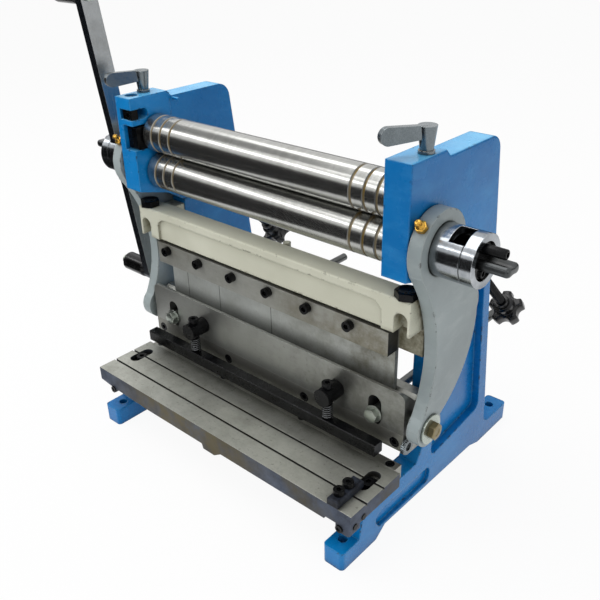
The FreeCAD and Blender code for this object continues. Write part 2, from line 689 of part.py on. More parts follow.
# ---------------------------------------------------------------- pull arms and eccentric hubs
WEB = [("roll_y - 30", "hub_z - 10"), ("roll_y - 28", "hub_z - 18"), ("roll_y + 1", "hub_z - 89", -150),
       ("eye_y - 18", "bolt_z + 3", -120), ("eye_y", "bolt_z - 9"), ("eye_y + 15", "bolt_z + 6"),
       ("roll_y + 65", "hub_z - 79", 95), ("roll_y + 64", "hub_z - 62", 20), ("roll_y + 29.5", "hub_z + 13")]
for label, side in SIDES:
    arm = Piece("arm_" + label)
    arm.pad("X", [circle("roll_y", "hub_z", "hub_radius + 10.6")], *span(side, "hub_start", "arm_end"))
    arm.pad("X", [circle("eye_y", "bolt_z", 18)], *span(side, "hub_start", "arm_end"))
    arm.pad("X", [WEB], *span(side, "hub_start", "arm_end"))
    arm.cut("X", [circle("roll_y", "hub_z", "hub_radius + 0.05")], *span(side, "hub_start", "arm_end"))
    arm.cut("X", [circle("eye_y", "bolt_z", 8)], *span(side, "hub_start", "arm_end"))
    arm.soften("Chamfer", 1, on_level("X", side * number("arm_end"), ("roll_y", "hub_z"), "hub_radius + 1"))
    hub = Piece("hub_" + label, at=(0, "roll_y", "hub_z"))
    hub.pad("X", [circle(0, 0, "hub_radius"), circle(0, 0, "hub_bore")], *span(side, "hub_start", "hub_end"))
    tilt = math.radians(number("bar_tilt"))
    ahead = -number("bar_ahead")
    wide = number("bar_half") + 0.5
    far = 30.0
    corners = []
    for along, across in ((far, ahead + wide), (far, ahead - wide),
                          (-far, ahead - wide), (-far, ahead + wide)):
        corners.append((across * math.cos(tilt) - along * math.sin(tilt),
                        across * math.sin(tilt) + along * math.cos(tilt)))
    inner, outer = ("bar_inner", "bar_outer") if side < 0 else ("bar_inner - 1.5", "bar_outer + 1")
    hub.cut("X", [corners], *span(side, inner, outer))
    clutch = Piece("clutch_" + label, at=(0, "roll_y", "hub_z"))
    clutch.pad("X", [circle(0, 0, "hub_bore - 0.3")], *span(side, "hub_end - 10", "hub_end - 3"))
    tab = "tab_" + label
    near, bend, end = ["%d * (hub_end + %s)" % (side, reach) for reach in (-4, tab + " - 4", tab)]
    clutch.pad("Z", [[(near, -9), (bend, -9), (end, -5, 4 * side), (end, 5), (bend, 9, 4 * side), (near, 9)]],
               -6, 4)
    clutch.pad("X", [circle(0, 10, 4.2)], *span(side, "hub_end - 3", "hub_end + 17"))
    clutch.pad("X", [circle(0, -11, 4.2)], *span(side, "hub_end - 3", "hub_end - 1"))
    clutch.cut("X", [hexagon(0, 10, 4)], *span(side, "hub_end + 13", "hub_end + 17"))
    clutch.cut("X", [hexagon(0, -11, 4)], *span(side, "hub_end - 4", "hub_end - 1"))

pins = Piece("arm_pins")
for label, side in SIDES:
    pins.pad("X", [circle("eye_y", "bolt_z", 8)], *span(side, "ram_half", "arm_end"))
    pins.pad("X", [circle("eye_y", "bolt_z", 13)], *span(side, "arm_end", "arm_end + 2.5"))
    pins.pad("X", [hexagon("eye_y", "bolt_z", 18)], *span(side, "arm_end + 2.5", "arm_end + 8.5"))
disc = Piece("end_disc")
disc.pad("X", [circle("brake_y - 12", "blade_top - 12", 8.5)], "ram_half", "ram_half + 4")
disc.cut("X", [circle("brake_y - 12", "blade_top - 12", 4)], "ram_half + 2", "ram_half + 4")

nipples = Piece("grease_nipples", at=(0, "roll_y", "hub_z"), turn=((1, 0, 0), -45))
for label, side in SIDES:
    middle_x = "%d * (hub_start + arm_end) / 2" % side
    nipples.pad("Y", [hexagon(middle_x, 0, 9)], "-hub_radius - 16", "-hub_radius - 10.6")
    nipples.pad("Y", [circle(middle_x, 0, 2.5)], "-hub_radius - 22", "-hub_radius - 16")

# ---------------------------------------------------------------- crank
crank = Piece("crank_bar", at=(0, "roll_y", "hub_z"), turn=((1, 0, 0), number("bar_tilt")))
crank.pad("X", [capsule("-bar_ahead", "-grip_down - 1.5", "grip_up + 1.5", "bar_half")],
          "-bar_outer", "-bar_inner")
crank.soften("Chamfer", 1.2, on_level("X", -number("bar_outer")))
for label, reach in (("top", "grip_up"), ("bottom", "(-grip_down)")):
    across = "roll_y - bar_ahead * cos(bar_tilt) - %s * sin(bar_tilt)" % reach
    up = "hub_z - bar_ahead * sin(bar_tilt) + %s * cos(bar_tilt)" % reach
    grip = Piece("grip_" + label, at=("-bar_outer - 1.3", across, up))
    grip.turned([(0, 4.1), (0, "grip_radius - 3"), (-3, "grip_radius"), ("4 - grip_long", "grip_radius"),
                 ("-grip_long", "grip_radius - 4"), ("-grip_long", 4.1)])
    stud = Piece("grip_stud_" + label, at=("-bar_outer", across, up))
    stud.pad("X", [circle(0, 0, 4)], "-grip_long - 2", 0)
    stud.pad("X", [circle(0, 0, 6)], "-grip_long - 5", "-grip_long - 2")
    stud.pad("X", [hexagon(0, 0, 13)], "bar_outer - bar_inner", "bar_outer - bar_inner + 4")

# ---------------------------------------------------------------- brake beam, clamp bar and fingers
beam = Piece("beam")
beam.pad("X", [[("beam_front", "beam_lip"), ("finger_back", "beam_lip"), ("finger_back", "beam_lip - 29"),
                ("finger_back + 8", "beam_lip - 29"), ("finger_back + 8", "beam_top - 6"),
                ("finger_back", "beam_top"), ("beam_front + 1", "beam_top"), ("beam_front", "beam_top - 1")]],
         "-beam_half", "beam_half")
for label, side in SIDES:
    beam.pad("Y", [rect(*(span(side, "frame_inner + 1", "ram_half") + ("beam_lip", "beam_top - 6")))],
             "finger_back + 8", "web_front")
for label, side in SIDES:
    middle = "%d * beam_bolt_x" % side
    beam.cut("Y", [[(middle + " - 6.85", "beam_lip - 1"), (middle + " + 6.85", "beam_lip - 1"),
                    (middle + " + 6.85", "beam_top - 18"), (middle + " - 6.85", "beam_top - 18", 7)]],
             "beam_front", "beam_front + 14")
    beam.cut("Z", [circle(middle, "beam_front + 8", 5)], "beam_top - 6", "beam_top")
panel = [("6.4 - frame_inner", "beam_lip - 1"), ("frame_inner - 6.4", "beam_lip - 1"),
         ("frame_inner - 6.4", "beam_top - 20"), ("frame_inner - 18.4", "beam_top - 8", 12),
         ("18.4 - frame_inner", "beam_top - 8"), ("6.4 - frame_inner", "beam_top - 20", 12)]
beam.cut("Y", [panel], "beam_front", "beam_front + 2.7")
beam.pad("Z", [circle(17, "finger_back + 4", 3.8)], "beam_top - 6", "beam_top + 1")
BEAM_SPOTS = [("beam_bolt_x", "beam_front + 8"), ("-beam_bolt_x", "beam_front + 8")]
beam_bolts = Piece("beam_bolts")
beam_bolts.pad("Z", [hexagon(u, v, 19) for u, v in BEAM_SPOTS], "beam_top", "beam_top + 7")
beam_bolts.pad("Z", [circle(u, v, 4.9) for u, v in BEAM_SPOTS], "beam_top - 6", "beam_top")

clamp = Piece("clamp_bar")
clamp.pad("Y", [rect("-frame_inner", "frame_inner", "finger_top - 24", "finger_top")],
          "finger_front - 15", "finger_front")
CLAMP_SPOTS = [("%d - frame_inner" % (50 * index + 17.4), "finger_top - 7") for index in range(6)]
cap_screws("clamp_screws", "Y", CLAMP_SPOTS, "finger_front - 15", -6, 5, 12, 2.4, 5)
clamp.cut("Y", [circle(x, z, 2.5) for x, z in CLAMP_SPOTS], "finger_front - 15", "finger_front - 3")

fingers = Piece("fingers")
FINGER_EDGES = ("2 - frame_inner", "27.4 - frame_inner", "78.2 - frame_inner", "154.4 - frame_inner",
                "frame_inner - 2")
for first, last in zip(FINGER_EDGES, FINGER_EDGES[1:]):
    profile = [("brake_y", "finger_tip"), ("finger_back", "finger_tip + 2.5"), ("finger_back", "finger_top"),
               ("finger_front", "finger_top"), ("finger_front", "finger_tip + 2.5")]
    fingers.pad("X", [profile], first + " + 0.2", last + " - 0.2")

# ---------------------------------------------------------------- table and lower blade
table = Piece("table")
table.pad("Z", [rect("-table_half", "table_half", "table_front", "table_back")], "table_low", "table_top")
APRON = [("-table_half", "table_low"), ("18 - table_half", "table_low - 2.4"),
         ("86 - table_half", "table_low - 5"), (-10.6, "table_low - 5"), (-8.8, "table_low - 10.6"),
         (7.3, "table_low - 10.8"), (17, "table_low - 4.4"), ("table_half - 30", "table_low - 4"),
         ("table_half - 29", "table_low - 1"), ("table_half - 1", "table_low - 1"),
         ("table_half - 1", "table_low + 4"), ("-table_half", "table_low + 4")]
table.pad("Y", [APRON], "table_front", "table_front + 13")
table.pad("Y", [rect("table_half - 17", "table_half", "apron_low", "table_low + 4")],
          "table_front", "table_front + 13")
table.pad("Y", [circle("23 - table_half", "table_low - 4.4", 4.1)], "table_front", "table_front + 10")
table.cut("Y", [rect("30 - table_half", "table_half - 30", "table_low", "table_low + 4.5")],
          "table_front + 13", "table_back - 6")
for groove in (21.7, 47):
    table.cut("X", [rect("table_front + %s" % (groove - 1.2), "table_front + %s" % (groove + 1.2),
                         "table_top - 2.5", "table_top")], "-table_half", "table_half")
for label, side in SIDES:
    middle = "%d * side_slot_x" % side
    table.cut("Z", [capsule(middle, "side_slot_y - 8", "side_slot_y + 8", 6.5)], "table_top - 7", "table_top")
    table.cut("Z", [capsule(middle, "side_slot_y - 8", "side_slot_y + 8", 4.5)], "table_low", "table_top - 7")
cap_screws("table_screws", "Z", [("side_slot_x", "side_slot_y"), ("-side_slot_x", "side_slot_y")],
           "table_top - 6.7", 6, 6, -9, 4, 5)
lower_blade = Piece("lower_blade")
lower_blade.pad("Y", [rect("-ram_half", "ram_half", "table_low + 0.4", "table_top")], "table_back", "shear_y")
LOWER_SPOTS = [("%s * (ram_half - 9)" % share, "(table_back + shear_y) / 2")
               for share in (-1, -0.345, 0.345, 1)]
lower_blade.cut("Z", [circle(x, y, 4.6) for x, y in LOWER_SPOTS], "table_top - 5", "table_top")
lower_blade.cut("Z", [circle(x, y, 2.6) for x, y in LOWER_SPOTS], "table_top - 12", "table_top - 5")
cap_screws("lower_blade_screws", "Z", LOWER_SPOTS, "table_top - 5", 4.8, 4.4, -7, 2.5, 4)
SET_SPOTS = [("23 - table_half", "table_low - 4.4"), ("table_half - 12.5", "table_low - 5")]
END_SPOTS = [("table_front + 6", "table_low + 0.5"), ("table_front + 18", "table_low + 3.4")]
table.cut("Y", [circle(x, z, 3) for x, z in SET_SPOTS], "table_front", "table_front + 6")
table.cut("X", [circle(y, z, 3) for y, z in END_SPOTS], "table_half - 6", "table_half")
table.soften("Fillet", 5, at_corner("Y", [("table_half - 17", "apron_low"), ("table_half", "apron_low")]))
sets = cap_screws("set_screws", "Y", SET_SPOTS, "table_front", -1.5, 3.8, 6, 2.9, 4)
sets.pad("X", [circle(y, z, 2.9) for y, z in END_SPOTS], "table_half - 6", "table_half + 0.8")

gauge = Piece("side_gauge")
gauge.pad("Z", [rect("side_slot_x - 10", "side_slot_x + 1.8", "table_front", "side_slot_y - 9.5")],
          "table_top", "table_top + 7.5")
GAUGE_SPOTS = [("side_slot_x - 4.8", "table_front + 10"), ("side_slot_x - 4.8", "table_front + 23")]
gauge.cut("Z", [circle(x, y, 2.5) for x, y in GAUGE_SPOTS], "table_top + 2", "table_top + 7.5")
gauge.soften("Chamfer", 1, on_level("Z", "table_top + 7.5"))
cap_screws("gauge_screws", "Z", GAUGE_SPOTS, "table_top + 7.5", 5, 5.2, -5.4, 2.4, 4.5)

# ---------------------------------------------------------------- hold-down
HOLD_X = ("hold_left_x", "hold_right_x")
bar = Piece("hold_bar")
bar.pad("X", [rect("hold_y - hold_half", "hold_y + hold_half", "hold_low", "hold_low + 2 * hold_half")],
        "-frame_inner - 11.6", "frame_inner + 2.6")
bar.cut("Z", [circle(x, "hold_y", "hold_bolt + 0.1") for x in HOLD_X],
        "hold_low + 5", "hold_low + 2 * hold_half")
bar.soften("Chamfer", 0.8, at_corner("X", [("hold_y - hold_half", "hold_low + 2 * hold_half"),
                                           ("hold_y + hold_half", "hold_low + 2 * hold_half")]))
brackets = Piece("hold_brackets")
brackets.pad("Y", [circle(x, "lug_z", "lug_radius") for x in HOLD_X], "hold_y - 9", "ram_front")
brackets.cut("Z", [circle(x, "hold_y", "hold_bolt + 0.3") for x in HOLD_X], LUG_LOW, LUG_TOP)
hold_bolts = Piece("hold_bolts")
hold_bolts.pad("Z", [circle(x, "hold_y", "hold_bolt") for x in HOLD_X], "hold_low + 5", LUG_TOP + " + 0.3")
hold_bolts.pad("Z", [circle(x, "hold_y", 5.5) for x in HOLD_X], LUG_TOP + " + 0.3", LUG_TOP + " + 4.8")
hold_bolts.cut("Z", [hexagon(x, "hold_y", 5) for x in HOLD_X], LUG_TOP + " + 2.3", LUG_TOP + " + 4.8")

for label, x in zip(("left", "right"), HOLD_X):
    spring = Piece("hold_spring_" + label, at=(x, "hold_y", "hold_low + 2 * hold_half + 0.3"))
    spring.pad("Z", [circle(0, 0, "hold_bolt + 1.9"), circle(0, 0, "hold_bolt + 0.6")], 0,
               LUG_LOW + " - hold_low - 2 * hold_half - 0.6")

# ---------------------------------------------------------------- back gauge
rods = Piece("gauge_rods")
rods.pad("Y", [circle("-rod_x", "rod_z", "rod_radius"), circle("rod_x", "rod_z", "rod_radius")],
         "web_front", "rod_end")
rods.soften("Chamfer", 0.8, on_level("Y", "rod_end"))
collars = Piece("gauge_collars")
for label, side in SIDES:
    middle = "%d * rod_x" % side
    collars.pad("Y", [circle(middle, "rod_z", 9), circle(middle, "rod_z", "rod_radius + running_gap")],
                "web_front + 12", "web_front + 26")
CROSS = circle("web_front + 19", "rod_z + 2 * rod_radius + 0.3", "rod_radius")
collars.cut("X", [CROSS], "-rod_x - 27", "rod_x + 27")
cross = Piece("gauge_cross_rod")
cross.pad("X", [CROSS], "-rod_x - 27", "rod_x + 27")
cross.soften("Chamfer", 0.8, on_level("X", "rod_x + 27"))

# ---------------------------------------------------------------- rear roll adjusters
for label, side in SIDES:
    star = Piece("star_" + label, at=("%d * star_x" % side, "rear_y + star_far * sqrt(0.5)",
                                      "rear_z - star_far * sqrt(0.5)"), turn=((1, 0, 0), -135))
    star.pad("Z", [circle(0, 0, "star_radius")], -7, 9)
    scallop = star.cut("Z", [circle("star_radius + 2.5", 0, 7.5)], -7, 9)
    star.ring(scallop, "Z", 5)
    star.pad("Z", [circle(0, 0, 10.5)], -16, -7)
    star.pad("Z", [circle(0, 0, 7.5)], -24, -16)
    star.pad("Z", [circle(0, 0, "star_screw")], "13.3 - star_far", -24)

doc.recompute()


def faults(obj):
    """List what is wrong with a built object, such as a pocket that removed nothing."""
    found = []
    if "Invalid" in obj.State or "Error" in obj.State:
        found.append("%s does not build: %s" % (obj.Name, obj.State))
    elif obj.TypeId == "PartDesign::Pocket" and obj.Shape.Volume > obj.BaseFeature.Shape.Volume - 0.01:
        found.append("%s removes no material" % obj.Name)
    if obj in NODES and (obj.Shape.isNull() or not obj.Shape.isValid() or not obj.Shape.Solids):
        found.append("%s has no valid solid" % obj.Label)
    return found


problems = [fault for obj in doc.Objects for fault in faults(obj)]
if problems:
    raise RuntimeError("; ".join(problems))

os.makedirs("parts", exist_ok=True)
for node in NODES:
    node.Shape.exportStep(os.path.join("parts", node.Label + ".step"))
print("%d sub-parts written" % len(NODES))
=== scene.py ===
import json
import math

import bmesh
import bpy
from mathutils import Matrix, Vector


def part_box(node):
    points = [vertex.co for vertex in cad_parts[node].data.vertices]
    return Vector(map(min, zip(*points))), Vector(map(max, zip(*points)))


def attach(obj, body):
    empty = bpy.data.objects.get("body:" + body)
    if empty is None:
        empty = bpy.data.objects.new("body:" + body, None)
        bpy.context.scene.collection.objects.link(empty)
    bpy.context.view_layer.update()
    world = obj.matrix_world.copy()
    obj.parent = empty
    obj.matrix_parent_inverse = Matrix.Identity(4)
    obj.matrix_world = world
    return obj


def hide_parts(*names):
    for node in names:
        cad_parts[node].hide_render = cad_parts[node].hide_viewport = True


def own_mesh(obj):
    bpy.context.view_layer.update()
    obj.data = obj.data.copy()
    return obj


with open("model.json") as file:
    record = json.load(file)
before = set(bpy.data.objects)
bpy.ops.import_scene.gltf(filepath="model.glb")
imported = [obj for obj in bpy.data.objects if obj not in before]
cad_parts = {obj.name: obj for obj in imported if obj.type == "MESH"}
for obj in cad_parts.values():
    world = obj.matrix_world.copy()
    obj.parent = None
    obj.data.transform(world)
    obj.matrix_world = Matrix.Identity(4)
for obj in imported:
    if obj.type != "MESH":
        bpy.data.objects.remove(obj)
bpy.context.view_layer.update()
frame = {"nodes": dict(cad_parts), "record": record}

# ------------------------------------------------------------------ camera
# fitted once to the photograph: metres, and radians for the roll
CAMERA_PLACE = (0.4637, -0.5152, 0.5264)
CAMERA_SIGHT = (-0.5910, 0.6527, -0.4740)
CAMERA_ROLL = -0.0229
CAMERA_LENS_MM = 44.65
CAMERA_SENSOR_MM = 36.0

camera_data = bpy.data.cameras.new("view")
camera_data.sensor_fit = "HORIZONTAL"
camera_data.sensor_width = CAMERA_SENSOR_MM
camera_data.lens = CAMERA_LENS_MM
camera_data.clip_start = 0.01
camera = bpy.data.objects.new("view", camera_data)
bpy.context.scene.collection.objects.link(camera)
forward = Vector(CAMERA_SIGHT).normalized()
side = forward.cross(Vector((0, 0, 1))).normalized()
up = side.cross(forward)
right = math.cos(CAMERA_ROLL) * side + math.sin(CAMERA_ROLL) * up
top = -math.sin(CAMERA_ROLL) * side + math.cos(CAMERA_ROLL) * up
axes = Matrix((right, top, -forward)).transposed()
camera.matrix_world = Matrix.Translation(CAMERA_PLACE) @ axes.to_4x4()
bpy.context.scene.camera = camera
bpy.context.scene.view_settings.view_transform = "Standard"


# ------------------------------------------------------------------ sizes that follow the part, in metres
HUB_AXIS = Vector((0, -0.047, 0.284))
HUB_SEAM = 0.2182                        # seam of the hub's outer ring, from the middle plane
ROLL_GROOVES = (0.113, 0.127, 0.140)     # wire grooves, from the middle plane
FINGER_JOINTS = (-0.127, -0.0762, 0.0)   # X of the joints between the split fingers
NIPPLE_REACH = 0.0325                    # hub axis to the foot of a grease nipple
HEAD_HEIGHT = 0.006                      # heads of the guide bolts and the arm pins
GUIDE_WASHER = 0.0086                    # radius of the guide bolts' washers
ARM_HEAD_AND_WASHER = 0.0085             # what stands proud of an arm
BEAM_HEAD_HALF = 0.01097                 # half the width across corners of a beam bolt
DISC_TEETH, DISC_TOOTH = 22, 0.0009      # serration of the end disc
DOG_FOOT, DOG_ROUND = 0.006, 0.0030      # start of a clutch dog, and the rounding of its end
KNOB_ANGLE = -135                        # degrees about X
KNOB_CENTRE = (0.13698, 0.14302)         # Y and Z of the knobs' middle
# centre and radius of a bite between two lobes, and outer radius of the lobes
KNOB_REACH, KNOB_BITE, KNOB_LOBE = 0.0205, 0.0075, 0.018
# the knob's screw side and face, measured from its middle, and how far each is rounded
KNOB_BACK, KNOB_BACK_ROUND, KNOB_FACE, KNOB_FACE_ROUND = -0.007, 0.003, 0.009, 0.004
# thread of the knob's screw, also measured from the knob's middle
SCREW_PITCH, SCREW_START, SCREW_END = 0.003, -0.0239, -0.1691
SCREW_RADIUS, THREAD_DEPTH = 0.005, 0.0009
# bolt heads: flat share of the end, slope of the chamfer, and the dish in the end
FACE_SHARE, CHAMFER_SLOPE, DISH_SHARE, DISH_DEPTH = 0.95, 0.55, 0.85, 0.0006
# middle as (y, z), half sizes as (y, z) and waist of the two clutch dogs
DOG_FORMS = {
    "left": ((-0.0035, 0.002), (0.0058, 0.0044), 0.1),
    "right": ((0.0, -0.001), (0.0092, 0.0052), 0.30),
}


# ------------------------------------------------------------------ materials
class Nodes:
    """Small helper that adds shader nodes to one material."""

    def __init__(self, name):
        self.material = bpy.data.materials.new(name)
        self.material.use_nodes = True
        self.tree = self.material.node_tree
        self.shader = self.tree.nodes["Principled BSDF"]
        coords = self.add("ShaderNodeTexCoord")
        self.place = coords.outputs["Object"]
        self.normal = coords.outputs["Normal"]

    def add(self, kind, **settings):
        node = self.tree.nodes.new(kind)
        for key, value in settings.items():
            setattr(node, key, value)
        return node

    def link(self, source, target):
        self.tree.links.new(source, target)

    def feed(self, value, socket):
        if hasattr(value, "is_output"):
            self.link(value, socket)
        else:
            socket.default_value = value

    def noise(self, scale, detail=4.0, rough=0.55, stretch=None):
        place = self.place
        if stretch:
            mapping = self.add("ShaderNodeMapping")
            mapping.inputs["Scale"].default_value = stretch
            self.link(place, mapping.inputs["Vector"])
            place = mapping.outputs["Vector"]
        node = self.add("ShaderNodeTexNoise")
        node.inputs["Scale"].default_value = scale
        node.inputs["Detail"].default_value = detail
        node.inputs["Roughness"].default_value = rough
        self.link(place, node.inputs["Vector"])
        return node.outputs["Fac"]

    def fit(self, value, low, high, start=0.0, end=1.0):
        """Map the span start..end of a value on low..high, held at both ends."""
        node = self.add("ShaderNodeMapRange")
        node.inputs["From Min"].default_value = start
        node.inputs["From Max"].default_value = end
        node.inputs["To Min"].default_value = low
        node.inputs["To Max"].default_value = high
        self.link(value, node.inputs["Value"])
        return node.outputs["Result"]

    def mix(self, factor, first, second):
        node = self.add("ShaderNodeMix", data_type="RGBA")
        for value, socket in ((factor, node.inputs[0]), (first, node.inputs[6]), (second, node.inputs[7])):
            self.feed(value, socket)
        return node.outputs[2]

    def math(self, operation, first, second=0.0):
        node = self.add("ShaderNodeMath", operation=operation)
        for value, socket in zip((first, second), node.inputs):
            self.feed(value, socket)
        return node.outputs[0]

    def parts(self, vector):
        node = self.add("ShaderNodeSeparateXYZ")
        self.link(vector, node.inputs[0])
        return node.outputs

    def edge(self, radius, low, high):
        """Mask that is 1 close to sharp edges, and the softened normal."""
        bevel = self.add("ShaderNodeBevel", samples=6)
        bevel.inputs["Radius"].default_value = radius
        plain = self.add("ShaderNodeNewGeometry")
        dot = self.add("ShaderNodeVectorMath", operation="DOT_PRODUCT")
        self.link(bevel.outputs["Normal"], dot.inputs[0])
        self.link(plain.outputs["Normal"], dot.inputs[1])
        return self.fit(dot.outputs["Value"], 0.0, 1.0, 1.0 - low, 1.0 - high), bevel.outputs["Normal"]

    def crevice(self, distance, low=0.35, high=0.85):
        """Mask that is 1 in inner corners and narrow gaps."""
        node = self.add("ShaderNodeAmbientOcclusion", samples=6)
        node.inputs["Distance"].default_value = distance
        return self.fit(node.outputs["AO"], 1.0, 0.0, low, high)

    def rings(self, centres, half):
        """Mask that is 1 at given distances from the middle plane along X."""
        away = self.math("ABSOLUTE", self.parts(self.place)[0])
        mask = None
        for centre in centres:
            gap = self.math("ABSOLUTE", self.math("SUBTRACT", away, centre))
            ring = self.fit(gap, 1.0, 0.0, 0.5 * half, half)
            mask = ring if mask is None else self.math("MAXIMUM", mask, ring)
        return mask

    def bump(self, height, strength, distance, normal=None):
        node = self.add("ShaderNodeBump")
        node.inputs["Strength"].default_value = strength
        node.inputs["Distance"].default_value = distance
        self.link(height, node.inputs["Height"])
        if normal:
            self.link(normal, node.inputs["Normal"])
        return node.outputs["Normal"]

    def grain_along(self, axis, rotation=0.25):
        """Tangent for brushed steel whose highlight runs along an axis."""
        tangent = self.add("ShaderNodeTangent", direction_type="RADIAL", axis=axis)
        self.link(tangent.outputs[0], self.shader.inputs["Tangent"])
        self.shader.inputs["Anisotropic Rotation"].default_value = rotation

    def finish(self, colour, rough, normal=None, metal=0.0, **sockets):
        self.link(colour, self.shader.inputs["Base Color"])
        self.link(rough, self.shader.inputs["Roughness"])
        if normal:
            self.link(normal, self.shader.inputs["Normal"])
        self.feed(metal, self.shader.inputs["Metallic"])
        for key, value in sockets.items():
            self.shader.inputs[key.replace("_", " ")].default_value = value
        return self.material


def rgb(red, green, blue):
    """Colour written as screen values from 0 to 255, turned into linear light."""
    def linear(value):
        value /= 255.0
        return value / 12.92 if value <= 0.04045 else ((value + 0.055) / 1.055) ** 2.4
    return (linear(red), linear(green), linear(blue), 1.0)


def enamel(name, light, dark, rubbed, chips, dirt_and_shade, gloss=0.3, grain=0.3, grime_and_shade=0.5, reach=0.009,
           top=None, pads=None):
    """Sprayed enamel over a casting: soft waviness, orange peel, rubbed edges with a painted highlight, chips,
    dirty crevices with painted shade, and where asked a painted light on high upward faces.
    """
    n = Nodes(name)
    colour = n.mix(n.fit(n.noise(9.0, 3.0), 0.0, 1.0, 0.35, 0.68), rgb(*dark), rgb(*light))
    streaks = n.fit(n.noise(26.0, 6.0, 0.72, stretch=(1, 1, 2.5)), 0.0, 0.22, 0.5, 0.72)
    colour = n.mix(streaks, colour, rgb(*rubbed))
    # painted light: high faces that look upward are lightened, standing in for the light of the overhead lamp
    if top:
        level = n.fit(n.parts(n.normal)[2], 0.0, 0.75, 0.55, 0.9)
        high = n.fit(n.parts(n.place)[2], 0.0, 1.0, 0.12, 0.33)
        uneven = n.fit(n.noise(30.0, 5.0), 0.5, 1.0, 0.35, 0.65)
        painted_top_light = n.math("MULTIPLY", n.math("MULTIPLY", level, high), uneven)
        colour = n.mix(painted_top_light, colour, rgb(*top))
    mask, soft = n.edge(0.0018, 0.03, 0.25)
    # painted highlight along every edge: the lighter colour stands in for the edges' specular highlights, as well
    # as rubbed paint
    colour = n.mix(n.math("MULTIPLY", mask, 0.6), colour, rgb(*rubbed))
    near_edge = n.edge(0.004, 0.01, 0.10)[0]
    patchy = n.math("MULTIPLY", near_edge, n.fit(n.noise(130.0, 5.0, 0.7), 0.0, 1.0, 0.56, 0.61))
    nicks = n.fit(n.noise(95.0, 6.0, 0.75), 0.0, 0.7, 0.735, 0.76)
    worn = n.math("MAXIMUM", n.math("MULTIPLY", patchy, 0.85), nicks)
    # painted shade with dirty tone: inner corners and narrow gaps are darkened, partly soiling and partly the
    # shade that falls there
    grimy_shade_mask = n.math("MULTIPLY", n.crevice(reach), n.fit(n.noise(40.0, 5.0, 0.7), 0.3 * grime_and_shade, grime_and_shade, 0.4, 0.6))
    colour = n.mix(worn, colour, rgb(*chips))
    if pads:
        away = n.fit(n.math("ABSOLUTE", n.parts(n.place)[0]), 0.0, 1.0, 0.148, 0.154)
        low = n.fit(n.parts(n.place)[2], 1.0, 0.0, 0.200, 0.208)
        uneven = n.fit(n.noise(45.0, 6.0, 0.7), 0.55, 1.0, 0.4, 0.6)
        oily = n.math("MULTIPLY", n.math("MULTIPLY", away, low), uneven)
        grimy_shade_mask = n.math("MAXIMUM", grimy_shade_mask, oily)
    colour = n.mix(grimy_shade_mask, colour, rgb(*dirt_and_shade))
    rough = n.fit(n.noise(55.0, 4.0), gloss - 0.06, gloss + 0.14)
    waves = n.math("MULTIPLY", n.noise(38.0, 3.0), 2.0)
    peel = n.math("MULTIPLY", n.noise(420.0, 2.0), 0.35)
    lumps = n.math("ADD", waves, peel)
    return n.finish(colour, rough, n.bump(lumps, grain, 0.0006, soft), IOR=1.5, Specular_IOR_Level=0.28)


def machined(name, light, dark, stain, rough=0.3, lines=(1, 60, 60), edge_light=(214, 214, 210), metal=0.92,
             spots=0.35, relief=0.18, seams=(), shaded_right_end=None, shaded_ends=False):
    """Ground steel with fine directional lines, faint stains, bright edges and painted shade in crevices; where
    asked, painted shade on the end faces and towards the right end.
    """
    n = Nodes(name)
    streak = n.noise(38.0, 5.0, 0.7, stretch=lines)
    blot = n.fit(n.noise(13.0, 6.0, 0.68), 0.0, spots, 0.45, 0.7)
    speck = n.fit(n.noise(240.0, 5.0, 0.75), 0.0, 0.5, 0.6, 0.72)
    colour = n.mix(streak, rgb(*dark), rgb(*light))
    colour = n.mix(n.math("MAXIMUM", blot, speck), colour, rgb(*stain))
    mask, soft = n.edge(0.0005, 0.04, 0.28)
    colour = n.mix(n.math("MULTIPLY", mask, 0.55), colour, rgb(*edge_light))
    # painted shade: the colour darkens towards the right end, standing in for the shade that falls there
    if shaded_right_end:
        shade_to_right = n.fit(n.parts(n.place)[0], 0.0, 1.0, -0.03, 0.13)
        uneven = n.fit(n.noise(30.0, 5.0, 0.7), 0.3, 0.9, 0.4, 0.6)
        colour = n.mix(n.math("MULTIPLY", shade_to_right, uneven), colour, rgb(*shaded_right_end))
    # painted shade: faces that look along X, the end faces, turn near black for the shadow on them
    if shaded_ends:
        face = n.fit(n.math("ABSOLUTE", n.parts(n.normal)[0]), 0.0, 0.9, 0.7, 0.9)
        colour = n.mix(face, colour, rgb(30, 32, 34))
    for seam in seams:
        gap = n.math("ABSOLUTE", n.math("SUBTRACT", n.parts(n.place)[0], seam))
        colour = n.mix(n.fit(gap, 0.9, 0.0, 0.0002, 0.0005), colour, rgb(40, 40, 38))
    # painted shade with dirty tone: inner corners and narrow gaps are darkened as contact shade
    colour = n.mix(n.math("MULTIPLY", n.crevice(0.014), 0.55), colour, rgb(38, 37, 32))
    roughness = n.math("ADD", n.fit(streak, rough - 0.08, rough + 0.12), n.math("MULTIPLY", blot, 0.3))
    return n.finish(colour, roughness, n.bump(streak, relief, 0.0002, soft), metal=metal)


def turned(name, grooves):
    """Roll steel: fine lathe lines round the axis, and grease in the wire grooves."""
    n = Nodes(name)
    lines = n.noise(1.0, 3.0, 0.65, stretch=(420, 1, 1))
    bands = n.noise(1.0, 3.0, 0.6, stretch=(45, 1, 1))
    colour = n.mix(lines, rgb(156, 157, 154), rgb(194, 194, 190))
    colour = n.mix(n.fit(bands, 0.0, 0.25, 0.5, 0.75), colour, rgb(146, 145, 138))
    rough, metal = n.fit(lines, 0.21, 0.27), 0.97
    if grooves:
        grease = n.math("MULTIPLY", n.rings(grooves, 0.0017), n.fit(n.noise(60.0, 4.0), 0.7, 1.0, 0.35, 0.6))
        colour = n.mix(grease, colour, rgb(112, 92, 40))
        rough = n.math("ADD", rough, n.math("MULTIPLY", grease, 0.25))
        metal = n.fit(grease, 0.97, 0.25)
    n.grain_along("X")
    return n.finish(colour, rough, None, metal=metal, Anisotropic=0.5)


